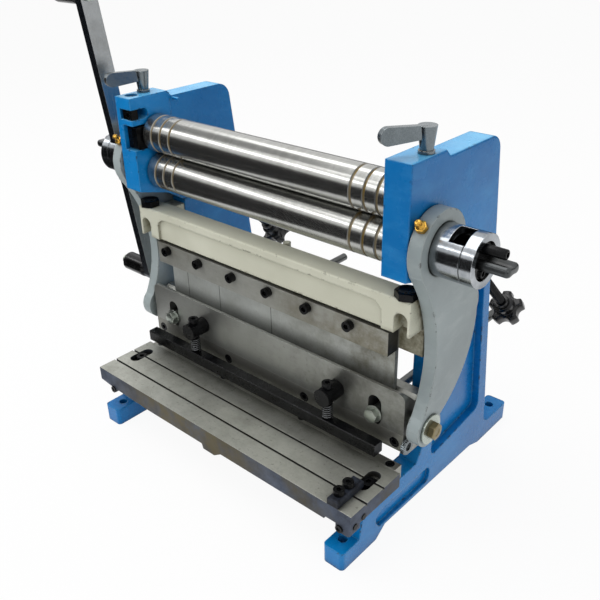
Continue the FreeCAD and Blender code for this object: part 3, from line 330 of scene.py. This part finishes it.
def bar_steel(name):
    """Flat bar: ground faces, and edges that keep their dark skin."""
    n = Nodes(name)
    streak = n.noise(38.0, 5.0, 0.7, stretch=(60, 60, 1))
    ground = n.mix(streak, rgb(146, 149, 150), rgb(186, 189, 190))
    ground = n.mix(n.fit(n.noise(16.0, 6.0, 0.7), 0.0, 0.4, 0.5, 0.7), ground, rgb(92, 92, 86))
    skin = n.mix(n.noise(90.0, 5.0, 0.7), rgb(34, 39, 46), rgb(70, 76, 84))
    face = n.fit(n.math("ABSOLUTE", n.parts(n.normal)[0]), 0.0, 1.0, 0.55, 0.62)
    mask, soft = n.edge(0.0006, 0.04, 0.28)
    colour = n.mix(face, skin, ground)
    colour = n.mix(n.math("MULTIPLY", mask, 0.5), colour, rgb(206, 208, 206))
    return n.finish(colour, n.fit(streak, 0.18, 0.32), n.bump(streak, 0.1, 0.0002, soft), metal=0.85)


def chrome(name):
    """Hard chrome sleeve with the seam of its outer ring, small knocks, and oily crevices darkened partly as
    painted shade.
    """
    n = Nodes(name)
    cloudy = n.noise(28.0, 6.0, 0.65)
    dents = n.noise(75.0, 4.0, 0.6)
    colour = n.mix(n.fit(cloudy, 0.0, 1.0, 0.35, 0.65), rgb(132, 137, 142), rgb(186, 190, 194))
    seam = n.rings((HUB_SEAM,), 0.0006)
    colour = n.mix(n.math("MULTIPLY", seam, 0.85), colour, rgb(50, 50, 50))
    # painted shade with oily tone: inner corners and narrow gaps are darkened brown
    oil_and_shade = n.math("MULTIPLY", n.crevice(0.010), n.fit(n.noise(60.0, 5.0), 0.4, 0.95, 0.35, 0.6))
    colour = n.mix(oil_and_shade, colour, rgb(58, 54, 40))
    mask, soft = n.edge(0.0007, 0.05, 0.3)
    colour = n.mix(n.math("MULTIPLY", mask, 0.5), colour, rgb(240, 241, 243))
    relief = n.math("SUBTRACT", n.math("MULTIPLY", dents, 1.0), n.math("MULTIPLY", seam, 3.0))
    n.grain_along("X")
    return n.finish(colour, n.fit(cloudy, 0.12, 0.26), n.bump(relief, 0.35, 0.0004, soft), metal=1.0,
                    Anisotropic=0.3)


def oxide(name, light=(17, 18, 20), dark=(4, 4, 5), rough=0.26, rubbed=(70, 71, 73)):
    """Black oxide steel, slightly mottled and oily, brighter where edges are rubbed."""
    n = Nodes(name)
    colour = n.mix(n.fit(n.noise(130.0, 5.0), 0.0, 1.0, 0.35, 0.7), rgb(*dark), rgb(*light))
    mask, soft = n.edge(0.0005, 0.08, 0.4)
    worn = n.math("MULTIPLY", mask, n.fit(n.noise(300.0, 4.0), 0.15, 0.65, 0.4, 0.6))
    colour = n.mix(worn, colour, rgb(*rubbed))
    normal = n.bump(n.noise(600.0, 3.0), 0.15, 0.0002, soft)
    return n.finish(colour, n.fit(n.noise(90.0), rough - 0.1, rough + 0.14), normal, Specular_IOR_Level=0.16)


def cast(name):
    """Table casting: dark painted, oily sides, milled top with fine cross lines and stains, and painted shade in
    its recesses, corners and slots.
    """
    n = Nodes(name)
    skin = n.noise(210.0, 6.0, 0.7)
    mottled = n.fit(n.noise(60.0, 6.0, 0.7), 0.0, 1.0, 0.35, 0.65)
    side_paint = n.mix(mottled, rgb(48, 56, 72), rgb(80, 90, 108))
    oily = n.fit(n.noise(9.0, 5.0, 0.6), 0.0, 0.8, 0.56, 0.68)
    side_paint = n.mix(oily, side_paint, rgb(74, 66, 40))
    spill = n.fit(n.math("ABSOLUTE", n.math("ADD", n.parts(n.place)[0], 0.035)), 0.9, 0.0, 0.045, 0.13)
    spill = n.math("MULTIPLY", spill, n.fit(n.noise(34.0, 6.0, 0.7), 0.35, 1.0, 0.38, 0.58))
    side_paint = n.mix(spill, side_paint, rgb(92, 82, 50))
    lines = n.noise(70.0, 4.0, 0.7, stretch=(2, 55, 1))
    milled = n.mix(lines, rgb(158, 159, 151), rgb(204, 205, 197))
    cloud = n.fit(n.noise(22.0, 7.0, 0.7), 0.0, 0.7, 0.42, 0.7)
    milled = n.mix(cloud, milled, rgb(132, 133, 124))
    specks = n.fit(n.noise(330.0, 4.0, 0.7), 0.0, 0.6, 0.6, 0.7)
    milled = n.mix(specks, milled, rgb(84, 84, 76))
    flat = n.fit(n.parts(n.normal)[2], 0.0, 1.0, 0.90, 0.97)
    mask, soft = n.edge(0.0008, 0.05, 0.3)
    colour = n.mix(flat, side_paint, milled)
    # painted shade with dirty tone in small crevices
    grime_and_shade = n.math("MULTIPLY", n.crevice(0.010), n.fit(n.noise(50.0, 5.0), 0.4, 0.9, 0.35, 0.6))
    colour = n.mix(grime_and_shade, colour, rgb(58, 56, 46))
    # painted shade: a broad darkening near the beam, hold bar and ram, standing in for the shade they cast
    colour = n.mix(n.math("MULTIPLY", n.crevice(0.06, 0.45, 1.0), 0.45), colour, rgb(52, 52, 48))
    # painted shade: near black deep in the slots and tight corners
    colour = n.mix(n.math("MULTIPLY", n.crevice(0.025, 0.2, 0.5), 0.9), colour, rgb(14, 14, 13))
    colour = n.mix(n.math("MULTIPLY", mask, 0.5), colour, rgb(150, 150, 142))
    rough = n.math("ADD", n.fit(flat, 0.5, 0.34), n.math("MULTIPLY", cloud, 0.2))
    height = n.math("ADD", n.math("MULTIPLY", skin, 0.7), n.math("MULTIPLY", lines, 0.2))
    return n.finish(colour, rough, n.bump(height, 0.35, 0.0004, soft), metal=n.fit(flat, 0.0, 0.65),
                    Specular_IOR_Level=0.3)


def moulded(name, light=(24, 25, 28), dark=(6, 6, 7), rough=0.2):
    """Glossy black moulding with faint scuffs."""
    n = Nodes(name)
    scuff = n.fit(n.noise(60.0, 6.0, 0.7), 0.0, 1.0, 0.45, 0.72)
    colour = n.mix(scuff, rgb(*dark), rgb(*light))
    mask, soft = n.edge(0.0012, 0.05, 0.4)
    colour = n.mix(n.math("MULTIPLY", mask, 0.25), colour, rgb(70, 70, 72))
    normal = n.bump(n.noise(260.0, 3.0), 0.10, 0.0003, soft)
    return n.finish(colour, n.fit(scuff, rough, rough + 0.22), normal, IOR=1.5,
                    Specular_IOR_Level=0.35)


# the blue enamel's last colour is a painted light for its high upward faces
BLUE = enamel("blue_enamel", (6, 130, 202), (0, 110, 180), (84, 176, 232), (30, 36, 44), (4, 34, 60),
              gloss=0.22, grime_and_shade=0.7, top=(116, 206, 250))
GREEN = enamel("grey_green_enamel", (166, 177, 178), (142, 152, 154), (200, 207, 204), (96, 98, 96),
               (66, 68, 58), gloss=0.30, grain=0.45, grime_and_shade=0.8)
CREAM = enamel("cream_enamel", (216, 216, 198), (200, 200, 181), (222, 222, 206), (104, 100, 84),
               (84, 74, 42), gloss=0.34, grain=0.4, grime_and_shade=0.9, reach=0.016, pads=True)
RAM_STEEL = machined("ground_steel", (184, 186, 181), (146, 147, 143), (104, 102, 92), 0.34, (1, 60, 60),
                     metal=0.85, shaded_right_end=(112, 112, 106))
CLAMP_STEEL = machined("clamp_steel", (200, 201, 195), (160, 161, 154), (96, 90, 70), 0.42, (1, 40, 40),
                       metal=0.6, spots=0.6, relief=0.3, shaded_right_end=(118, 112, 92), shaded_ends=True)
FINGER_STEEL = machined("finger_steel", (216, 220, 217), (182, 186, 182), (132, 132, 122), 0.38, (30, 30, 2),
                        metal=0.4, spots=0.4, relief=0.25, seams=FINGER_JOINTS, shaded_right_end=(118, 116, 102))
BLADE_STEEL = machined("blade_steel", (168, 168, 161), (134, 134, 128), (100, 96, 80), 0.32, (1, 60, 60),
                       metal=0.8)
ZINC = machined("zinc_plate", (196, 204, 196), (156, 164, 156), (120, 118, 96), 0.26, (20, 20, 20), spots=0.4,
                relief=0.3)
AGED = machined("aged_steel", (150, 138, 104), (112, 102, 76), (64, 54, 34), 0.3, (20, 20, 20),
                (206, 198, 168), spots=0.6, relief=0.3)
SPRING_WIRE = machined("spring_wire", (128, 130, 132), (78, 80, 82), (60, 60, 56), 0.22, (20, 20, 20))
DOG_STEEL = machined("dog_steel", (96, 99, 100), (58, 60, 61), (24, 24, 22), 0.26, (1, 90, 90),
                     (150, 152, 152), spots=0.7)
BRASS = machined("brass_turned", (226, 182, 84), (184, 134, 44), (120, 82, 22), 0.22, (20, 20, 20),
                 (250, 226, 150), spots=0.3)
BRONZE = machined("bronze_turned", (190, 148, 84), (140, 104, 52), (96, 70, 36), 0.3, (60, 4, 4),
                  (226, 196, 140))
LEVER = machined("lever_steel", (142, 150, 154), (88, 96, 100), (62, 66, 66), 0.20, (20, 20, 20),
                 (232, 236, 236), metal=0.95, spots=0.4, relief=0.3)
DARK_ROD = machined("drawn_rod", (112, 114, 114), (74, 76, 76), (52, 50, 44), 0.24, (1, 60, 60), spots=0.5)
BRIGHT = bar_steel("bright_steel")
ROLL = turned("turned_steel", ROLL_GROOVES)
PLAIN_ROLL = turned("plain_turned_steel", ())
BLACK = oxide("black_oxide")
SLATE = oxide("slate_oxide", (50, 55, 66), (20, 22, 28), 0.42)
CHROME = chrome("hard_chrome")
IRON = cast("cast_iron_table")
PLASTIC = moulded("black_plastic")
RUBBER = moulded("black_grip", (30, 31, 32), (8, 8, 8), 0.20)

FINISHES = {
    "blue_enamel": BLUE, "green_enamel": GREEN, "cream_enamel": CREAM, "cast_iron": IRON, "chrome": CHROME,
    "bronze": BRONZE, "brass": BRASS, "black_plastic": PLASTIC, "black_rubber": RUBBER, "black_oxide": BLACK,
    "zinc": ZINC, "bright_steel": BRIGHT, "ground_steel": RAM_STEEL,
}
SPECIAL = {
    "lower_roll": ROLL, "upper_roll": ROLL, "rear_roll": PLAIN_ROLL, "clamp_bar": CLAMP_STEEL,
    "fingers": FINGER_STEEL, "upper_blade": BLADE_STEEL, "lower_blade": BLADE_STEEL, "side_gauge": SLATE,
    "lever_left": LEVER, "lever_right": LEVER, "gauge_rods": DARK_ROD, "gauge_cross_rod": DARK_ROD,
}
for entry in frame["record"]["subparts"]:
    node = frame["nodes"][entry["node"]]
    finish = SPECIAL.get(entry["node"], FINISHES[entry["material_slot"]])
    if not node.material_slots:
        node.data.materials.append(finish)
    for slot in node.material_slots:
        slot.material = finish


# ------------------------------------------------------------------ detailed pieces
def tube(form, rings, place, steps=32):
    """Skin rings into a closed solid; a ring maps an angle to (radius, height) in a local frame."""
    loops = []
    for ring in rings:
        loop = []
        for step in range(steps):
            angle = 2 * math.pi * step / steps
            radius, height = ring(angle)
            spot = Vector((radius * math.cos(angle), radius * math.sin(angle), height))
            loop.append(form.verts.new(place @ spot))
        loops.append(loop)
    for lower, upper in zip(loops, loops[1:]):
        for step in range(steps):
            follow = (step + 1) % steps
            form.faces.new((lower[step], lower[follow], upper[follow], upper[step]))
    for loop, ring, flip in ((loops[0], rings[0], True), (loops[-1], rings[-1], False)):
        middle = form.verts.new(place @ Vector((0, 0, ring(0)[1])))
        for step in range(steps):
            follow = (step + 1) % steps
            corners = (middle, loop[step], loop[follow])
            form.faces.new(tuple(reversed(corners)) if flip else corners)


def lathe(form, profile, place, steps=32):
    """Turned solid from (radius, height) pairs."""
    tube(form, [lambda angle, point=point: point for point in profile], place, steps)


def settle(name, form, body, finish, replaced=(), sharp=35):
    """Turn a bmesh into a piece that rides on a body."""
    bmesh.ops.recalc_face_normals(form, faces=form.faces)
    mesh = bpy.data.meshes.new(name)
    form.to_mesh(mesh)
    form.free()
    mesh.polygons.foreach_set("use_smooth", [True] * len(mesh.polygons))
    mesh.set_sharp_from_angle(angle=math.radians(sharp))
    mesh.materials.append(finish)
    piece = bpy.data.objects.new(name, mesh)
    bpy.context.scene.collection.objects.link(piece)
    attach(piece, body)
    if replaced:
        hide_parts(*replaced)
    return piece


def hexagon_radius(flats, turn=0.0):
    """Distance from the centre to the side of a hexagon, as a function of the angle."""
    def radius(angle):
        part = (angle - turn) % (math.pi / 3)
        return flats / 2 / math.cos(part - math.pi / 6)
    return radius


def hex_head(form, place, flats, height, turn=0.0, socket=None):
    """Hexagon head whose corners are chamfered by a cone, with an optional dished end."""
    side_radius = hexagon_radius(flats, turn)
    face = flats / 2 * FACE_SHARE
    rings = [lambda a: (side_radius(a), 0.0),
             lambda a: (side_radius(a), height - (side_radius(a) - face) * CHAMFER_SLOPE),
             lambda a: (face, height)]
    if socket:
        rings += [lambda a: (socket, height), lambda a: (socket * DISH_SHARE, height - DISH_DEPTH)]
    tube(form, rings, place, 96)


def towards(origin, axis):
    """Local frame at a place with its Z along an axis."""
    return Matrix.Translation(origin) @ Vector(axis).to_track_quat("Z", "Y").to_matrix().to_4x4()


# bolts of the guide bar, the arm pins and the beam, with washers and chamfered heads
low, high = [Vector(corner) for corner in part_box("guide_bolts")]
form = bmesh.new()
for x in (low.x + GUIDE_WASHER, high.x - GUIDE_WASHER):
    seat = Vector((x, high.y, (low.z + high.z) / 2))
    place = towards(seat, (0, -1, 0))
    long = high.y - low.y
    lathe(form, [(0.006, 0), (0.006, long - 0.0075), (0.0083, long - 0.0075), (GUIDE_WASHER, long - 0.0072),
                 (GUIDE_WASHER, long - 0.0062), (0.0082, long - HEAD_HEIGHT)], place, 40)
    hex_head(form, towards((x, low.y + HEAD_HEIGHT, seat.z), (0, -1, 0)), 0.0125, HEAD_HEIGHT, 0.3)
settle("guide_bolts_detail", form, "base", ZINC, ["guide_bolts"])

low, high = [Vector(corner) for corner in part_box("arm_pins")]
inner = min(abs((frame["nodes"]["arm_pins"].matrix_world @ vertex.co).x)
            for vertex in frame["nodes"]["arm_pins"].data.vertices)
washers, heads = bmesh.new(), bmesh.new()
for sign in (-1, 1):
    seat = Vector((sign * high.x, (low.y + high.y) / 2, (low.z + high.z) / 2))
    long = high.x - inner - ARM_HEAD_AND_WASHER
    lathe(washers, [(0.008, 0), (0.008, long + 0.0001), (0.0140, long + 0.0001), (0.0144, long + 0.0005),
                    (0.0144, long + 0.0021), (0.0140, long + 0.0025)],
          towards((sign * inner, seat.y, seat.z), (sign, 0, 0)), 48)
    hex_head(heads, towards((seat.x - sign * HEAD_HEIGHT, seat.y, seat.z), (sign, 0, 0)),
             0.0145, HEAD_HEIGHT, 0.2, 0.004)
settle("arm_pins_detail", washers, "ram", ZINC, ["arm_pins"])
settle("arm_pins_heads", heads, "ram", AGED)

low, high = [Vector(corner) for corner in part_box("beam_bolts")]
form = bmesh.new()
for x in (low.x + BEAM_HEAD_HALF, high.x - BEAM_HEAD_HALF):
    spot = ((low.y + high.y) / 2, high.z)
    lathe(form, [(0.0049, 0), (0.0049, 0.0062)], towards((x, spot[0], low.z), (0, 0, 1)), 24)
    hex_head(form, towards((x, spot[0], high.z - 0.007), (0, 0, 1)), 0.019, 0.007, 0.45, 0.0068)
settle("beam_bolts_detail", form, "base", BLACK, ["beam_bolts"])

# grease nipples on the arm bosses
form = bmesh.new()
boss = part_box("arm_right")
middle_x = (boss[0][0] + boss[1][0]) / 2
outward = Vector((0, -math.sqrt(0.5), math.sqrt(0.5)))
for sign in (-1, 1):
    foot = HUB_AXIS + outward * NIPPLE_REACH + Vector((sign * middle_x, 0, 0))
    hex_head(form, towards(foot, outward), 0.009, 0.0046, 0.2)
    lathe(form, [(0.0036, 0.0044), (0.0036, 0.0054), (0.0022, 0.0062), (0.0019, 0.0078), (0.0028, 0.0092),
                 (0.0029, 0.0100), (0.0021, 0.0112), (0.0009, 0.0115), (0.0007, 0.0110)],
          towards(foot, outward), 28)
settle("grease_nipples_detail", form, "ram", BRASS, ["grease_nipples"])

# serrated disc on the end of the ram
low, high = [Vector(corner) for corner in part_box("end_disc")]
radius = (high.z - low.z) / 2
form = bmesh.new()


def serrated(height, inset):
    """Toothed outline of the end disc, drawn in by inset."""
    def ring(angle):
        wave = abs((angle * DISC_TEETH / (2 * math.pi)) % 1.0 - 0.5) * 2
        return radius - inset - DISC_TOOTH * wave, height
    return ring


tube(form, [serrated(0, 0.0), serrated(0.0032, 0.0), serrated(0.004, 0.0008), lambda a: (0.0042, 0.004),
            lambda a: (0.004, 0.0037), lambda a: (0.0038, 0.002)],
     towards((low.x, (low.y + high.y) / 2, (low.z + high.z) / 2), (1, 0, 0)), 176)
settle("end_disc_detail", form, "ram", LEVER, ["end_disc"], 25)

# coil springs of the hold-down
for label in ("left", "right"):
    low, high = [Vector(corner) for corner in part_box("hold_spring_" + label)]
    wire = 0.0007
    coil = (high.x - low.x) / 2 - wire
    curve = bpy.data.curves.new("coil", "CURVE")
    curve.dimensions = "3D"
    curve.bevel_depth = wire
    curve.bevel_resolution = 2
    spline = curve.splines.new("POLY")
    turns, steps = 6.5, 20
    count = int(turns * steps) + 1
    spline.points.add(count - 1)
    for index in range(count):
        share = index / (count - 1)
        angle = 2 * math.pi * turns * share
        spline.points[index].co = ((low.x + high.x) / 2 + coil * math.cos(angle),
                                   (low.y + high.y) / 2 + coil * math.sin(angle),
                                   low.z + wire + (high.z - low.z - 2 * wire) * share, 1)
    holder = bpy.data.objects.new("coil", curve)
    form = bmesh.new()
    form.from_mesh(bpy.data.meshes.new_from_object(holder))
    bpy.data.objects.remove(holder)
    spring = settle("hold_spring_" + label + "_coil", form, "ram", SPRING_WIRE,
                    ["hold_spring_" + label], 60)
    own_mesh(spring)


# clutches in the hub ends: lobed shaft dog, long screw above and short screw below
def oval(middle, half, waist, height, inset=0.0):
    """Outline with two lobes along local Y; middle and half are (y, z) pairs."""
    def ring(angle):
        cosine, sine = abs(math.cos(angle)), abs(math.sin(angle))
        lobes = (cosine ** 2.6 + sine ** 2.6) ** (-1 / 2.6)
        pinch = waist * max(0.0, 1.0 - (cosine / 0.55) ** 2)
        ripple = 0.10 * max(0.0, math.cos(6 * angle)) * waist
        wide = (half[0] - inset) * cosine * lobes
        tall = (half[1] - inset) * sine * lobes * (1.0 - pinch - ripple)
        return middle, wide, tall, angle, height
    return ring


def bar_of_ovals(form, rings, place, steps=72):
    """Skin outlines given by oval into one closed solid."""
    def spot(ring, angle):
        middle, wide, tall, turn, height = ring(angle)
        across = math.copysign(wide, math.cos(turn)) + middle[0]
        upward = math.copysign(tall, math.sin(turn)) + middle[1]
        return place @ Vector((height, across, upward))
    angles = [2 * math.pi * step / steps for step in range(steps)]
    loops = [[form.verts.new(spot(ring, angle)) for angle in angles] for ring in rings]
    for lower, upper in zip(loops, loops[1:]):
        for step in range(steps):
            follow = (step + 1) % steps
            form.faces.new((lower[step], lower[follow], upper[follow], upper[step]))
    form.faces.new(loops[0][::-1])
    form.faces.new(loops[-1])


for label, sign in (("left", -1), ("right", 1)):
    low, high = [Vector(corner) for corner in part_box("clutch_" + label)]
    start, end = (low.x, high.x) if sign > 0 else (high.x, low.x)
    reach = abs(end - start)
    disc_radius = (high.z - low.z) / 2
    facing = Matrix.Rotation(0 if sign > 0 else math.pi, 4, "Z")
    place = Matrix.Translation((start, HUB_AXIS.y, HUB_AXIS.z)) @ facing
    form, ends = bmesh.new(), bmesh.new()
    axis = place @ Matrix.Rotation(math.pi / 2, 4, "Y")
    lathe(form, [(disc_radius - 0.0005, 0), (disc_radius, 0.0005), (disc_radius, 0.0065),
                 (disc_radius - 0.0005, 0.007)], axis, 48)
    middle, half, waist = DOG_FORMS[label]
    dog = [oval(middle, half, waist, height) for height in (DOG_FOOT, reach - DOG_ROUND)]
    for step in range(1, 6):
        bend = math.pi / 2 * step / 5
        dog.append(oval(middle, half, waist, reach - DOG_ROUND * (1 - math.sin(bend)),
                        DOG_ROUND * (1 - math.cos(bend))))
    bar_of_ovals(ends, dog, place)
    for across, length, turn in ((0.010, 0.027, 0.1), (-0.011, 0.009, 0.4)):
        screw = place @ Matrix.Translation((0.0, 0.0, across)) @ Matrix.Rotation(math.pi / 2, 4, "Y")
        lathe(form, [(0.0042, 0.004), (0.0042, length - 0.0010), (0.0038, length - 0.0003), (0.0032, length),
                     (0.0022, length), (0.0020, length - 0.0035)], screw, 32)
    settle("clutch_%s_detail" % label, form, "clutch_" + label, BLACK, ["clutch_" + label])
    settle("clutch_%s_dog" % label, ends, "clutch_" + label, DOG_STEEL)


# star knobs with their screws
def star_ring(height, inset):
    """Five-lobed outline of a star knob, drawn in by inset."""
    def ring(angle):
        part = (angle + math.pi / 5) % (2 * math.pi / 5) - math.pi / 5
        reach, bite, lobe = KNOB_REACH, KNOB_BITE + inset, KNOB_LOBE - inset
        sine = reach * math.sin(part)
        if abs(sine) < bite:
            lobe = min(lobe, reach * math.cos(part) - math.sqrt(bite * bite - sine * sine))
        return lobe, height
    return ring


def thread(height):
    """Outline of the threaded screw at one height; the ridge climbs one pitch in a turn."""
    def ring(angle):
        wave = abs((height / SCREW_PITCH - angle / (2 * math.pi)) % 1.0 - 0.5) * 2
        return SCREW_RADIUS - THREAD_DEPTH * min(1.0, wave * 1.3), height
    return ring


for label in ("left", "right"):
    low, high = [Vector(corner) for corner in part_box("star_" + label)]
    turn = Matrix.Rotation(math.radians(KNOB_ANGLE), 4, "X")
    centre = Vector(((low.x + high.x) / 2, *KNOB_CENTRE))
    place = Matrix.Translation(centre) @ turn
    form = bmesh.new()
    rings = [star_ring(KNOB_BACK + KNOB_BACK_ROUND * (1 - math.cos(math.pi / 2 * step / 5)),
                       KNOB_BACK_ROUND * (1 - math.sin(math.pi / 2 * step / 5))) for step in range(6)]
    rings += [star_ring(KNOB_FACE - KNOB_FACE_ROUND * (1 - math.sin(math.pi / 2 * step / 6)),
                        KNOB_FACE_ROUND * (1 - math.cos(math.pi / 2 * step / 6))) for step in range(7)]
    tube(form, rings, place, 120)
    lathe(form, [(0.0105, -0.0068), (0.0105, -0.0155), (0.0098, -0.016)][::-1], place, 40)
    lathe(form, [(0.0075, -0.0158), (0.0075, -0.0235), (0.007, -0.024)][::-1], place, 40)
    settle("star_%s_knob" % label, form, "star_" + label, PLASTIC, ["star_" + label], 40)
    form = bmesh.new()
    rows = int((SCREW_START - SCREW_END) / SCREW_PITCH * 6)
    tube(form, [thread(SCREW_END + (SCREW_START - SCREW_END) * row / rows) for row in range(rows + 1)], place, 18)
    settle("star_%s_screw" % label, form, "star_" + label, BLACK, (), 60)


# ------------------------------------------------------------------ floor and light
FLOOR_HALF = 6.0
DOME_STRENGTH = 0.52
# share of plain white in the floor as camera, glossy and transmission rays meet it; the rest keeps the shadow
FLOOR_WHITE = 0.93
# corners of the grey panel, above the rolls on the crank side
RIBBON = ((-0.96, -0.35, 0.85), (-0.47, -0.59, 1.31), (-0.62, 0.21, 1.58), (-1.00, 0.06, 0.97))


def hidden(item, *kinds):
    """Take an item out of the named kinds of ray."""
    for kind in kinds:
        setattr(item, "visible_" + kind, False)


def white_behind(tree, shader, strength, share):
    """Blend a shader with plain white for camera, glossy and transmission rays."""
    path = tree.nodes.new("ShaderNodeLightPath")
    first = tree.nodes.new("ShaderNodeMath")
    first.operation = "MAXIMUM"
    tree.links.new(path.outputs["Is Camera Ray"], first.inputs[0])
    tree.links.new(path.outputs["Is Glossy Ray"], first.inputs[1])
    second = tree.nodes.new("ShaderNodeMath")
    second.operation = "MAXIMUM"
    tree.links.new(first.outputs[0], second.inputs[0])
    tree.links.new(path.outputs["Is Transmission Ray"], second.inputs[1])
    scaled = tree.nodes.new("ShaderNodeMath")
    scaled.operation = "MULTIPLY"
    scaled.inputs[1].default_value = share
    tree.links.new(second.outputs[0], scaled.inputs[0])
    white = tree.nodes.new("ShaderNodeEmission" if share < 1 else "ShaderNodeBackground")
    white.inputs["Strength"].default_value = strength
    white.inputs["Color"].default_value = (1, 1, 1, 1)
    blend = tree.nodes.new("ShaderNodeMixShader")
    tree.links.new(scaled.outputs[0], blend.inputs[0])
    tree.links.new(shader.outputs[0], blend.inputs[1])
    tree.links.new(white.outputs[0], blend.inputs[2])
    return blend


paper = Nodes("paper_floor")
paper.finish(paper.mix(paper.noise(3.0), rgb(240, 240, 240), rgb(246, 246, 246)),
             paper.fit(paper.noise(40.0), 0.8, 0.9), Specular_IOR_Level=0.0)
output = paper.tree.nodes["Material Output"]
paper.link(white_behind(paper.tree, paper.shader, 1.0, FLOOR_WHITE).outputs[0], output.inputs["Surface"])
floor_mesh = bpy.data.meshes.new("floor")
form = bmesh.new()
bmesh.ops.create_grid(form, x_segments=8, y_segments=8, size=FLOOR_HALF)
form.to_mesh(floor_mesh)
form.free()
floor = bpy.data.objects.new("floor", floor_mesh)
floor.data.materials.append(paper.material)
bpy.context.scene.collection.objects.link(floor)

world = bpy.data.worlds.new("studio")
bpy.context.scene.world = world
world.use_nodes = True
dome = world.node_tree.nodes["Background"]
dome.inputs["Color"].default_value = (1, 1, 1, 1)
dome.inputs["Strength"].default_value = DOME_STRENGTH
world.node_tree.links.new(white_behind(world.node_tree, dome, 1.0, 1).outputs[0],
                          world.node_tree.nodes["World Output"].inputs["Surface"])

# panels that only show in reflections: dark ones for the dark bands of rolls and bars, a grey one for the mid band
flag_paint = Nodes("flag_cloth")
flag_paint.finish(flag_paint.mix(flag_paint.noise(20.0), rgb(24, 24, 25), rgb(40, 40, 40)),
                  flag_paint.fit(flag_paint.noise(30.0), 0.9, 1.0), Specular_IOR_Level=0.0)


def hang(name, corners, cloth):
    """Panel through four corners that only shows in reflections."""
    form = bmesh.new()
    form.faces.new([form.verts.new(corner) for corner in corners])
    mesh = bpy.data.meshes.new(name)
    form.to_mesh(mesh)
    form.free()
    mesh.materials.append(cloth)
    panel = bpy.data.objects.new(name, mesh)
    bpy.context.scene.collection.objects.link(panel)
    hidden(panel, "camera", "diffuse", "shadow", "transmission")


def flag(name, centre, across, high, lying=False):
    """Dark panel facing the object, upright or lying on the floor."""
    centre = Vector(centre)
    sideways = Vector((centre.y, -centre.x, 0)).normalized() * across / 2
    lift = Vector((centre.x, centre.y, 0)).normalized() * high / 2 if lying else Vector((0, 0, high / 2))
    hang(name, [centre + a * sideways + b * lift for a, b in ((-1, -1), (1, -1), (1, 1), (-1, 1))],
         flag_paint.material)


flag("flag_front", (-0.56, -0.62, 0.26), 1.5, 0.50)
flag("flag_back", (-0.75, 1.15, 0.25), 1.5, 0.45)
flag("flag_rear", (0.50, 1.25, 0.28), 1.3, 0.50)
flag("flag_right", (0.95, -0.95, 0.28), 1.2, 0.45)
flag("flag_low", (-0.40, -0.44, 0.004), 1.4, 0.50, True)
grey_paint = Nodes("grey_cloth")
grey_paint.finish(grey_paint.mix(grey_paint.noise(20.0), rgb(150, 150, 150), rgb(160, 160, 160)),
                  grey_paint.fit(grey_paint.noise(30.0), 0.9, 1.0), Specular_IOR_Level=0.0)
hang("flag_high", RIBBON, grey_paint.material)


def lamp(name, place, target, size, power):
    """Rectangular area lamp that faces a target; power in watts."""
    data = bpy.data.lights.new(name, "AREA")
    data.shape = "RECTANGLE"
    data.size, data.size_y = size
    data.energy = power
    item = bpy.data.objects.new(name, data)
    item.location = place
    item.rotation_euler = (Vector(target) - Vector(place)).to_track_quat("-Z", "Y").to_euler()
    bpy.context.scene.collection.objects.link(item)


lamp("overhead", (-0.5, -0.1, 1.6), (0, 0, 0.2), (1.5, 1.1), 15)
lamp("strip", (-0.95, -1.0, 1.12), (0, 0, 0.25), (1.7, 0.12), 4.0)
lamp("fill", (1.5, -0.9, 0.9), (0, 0, 0.2), (1.0, 1.0), 2.5)
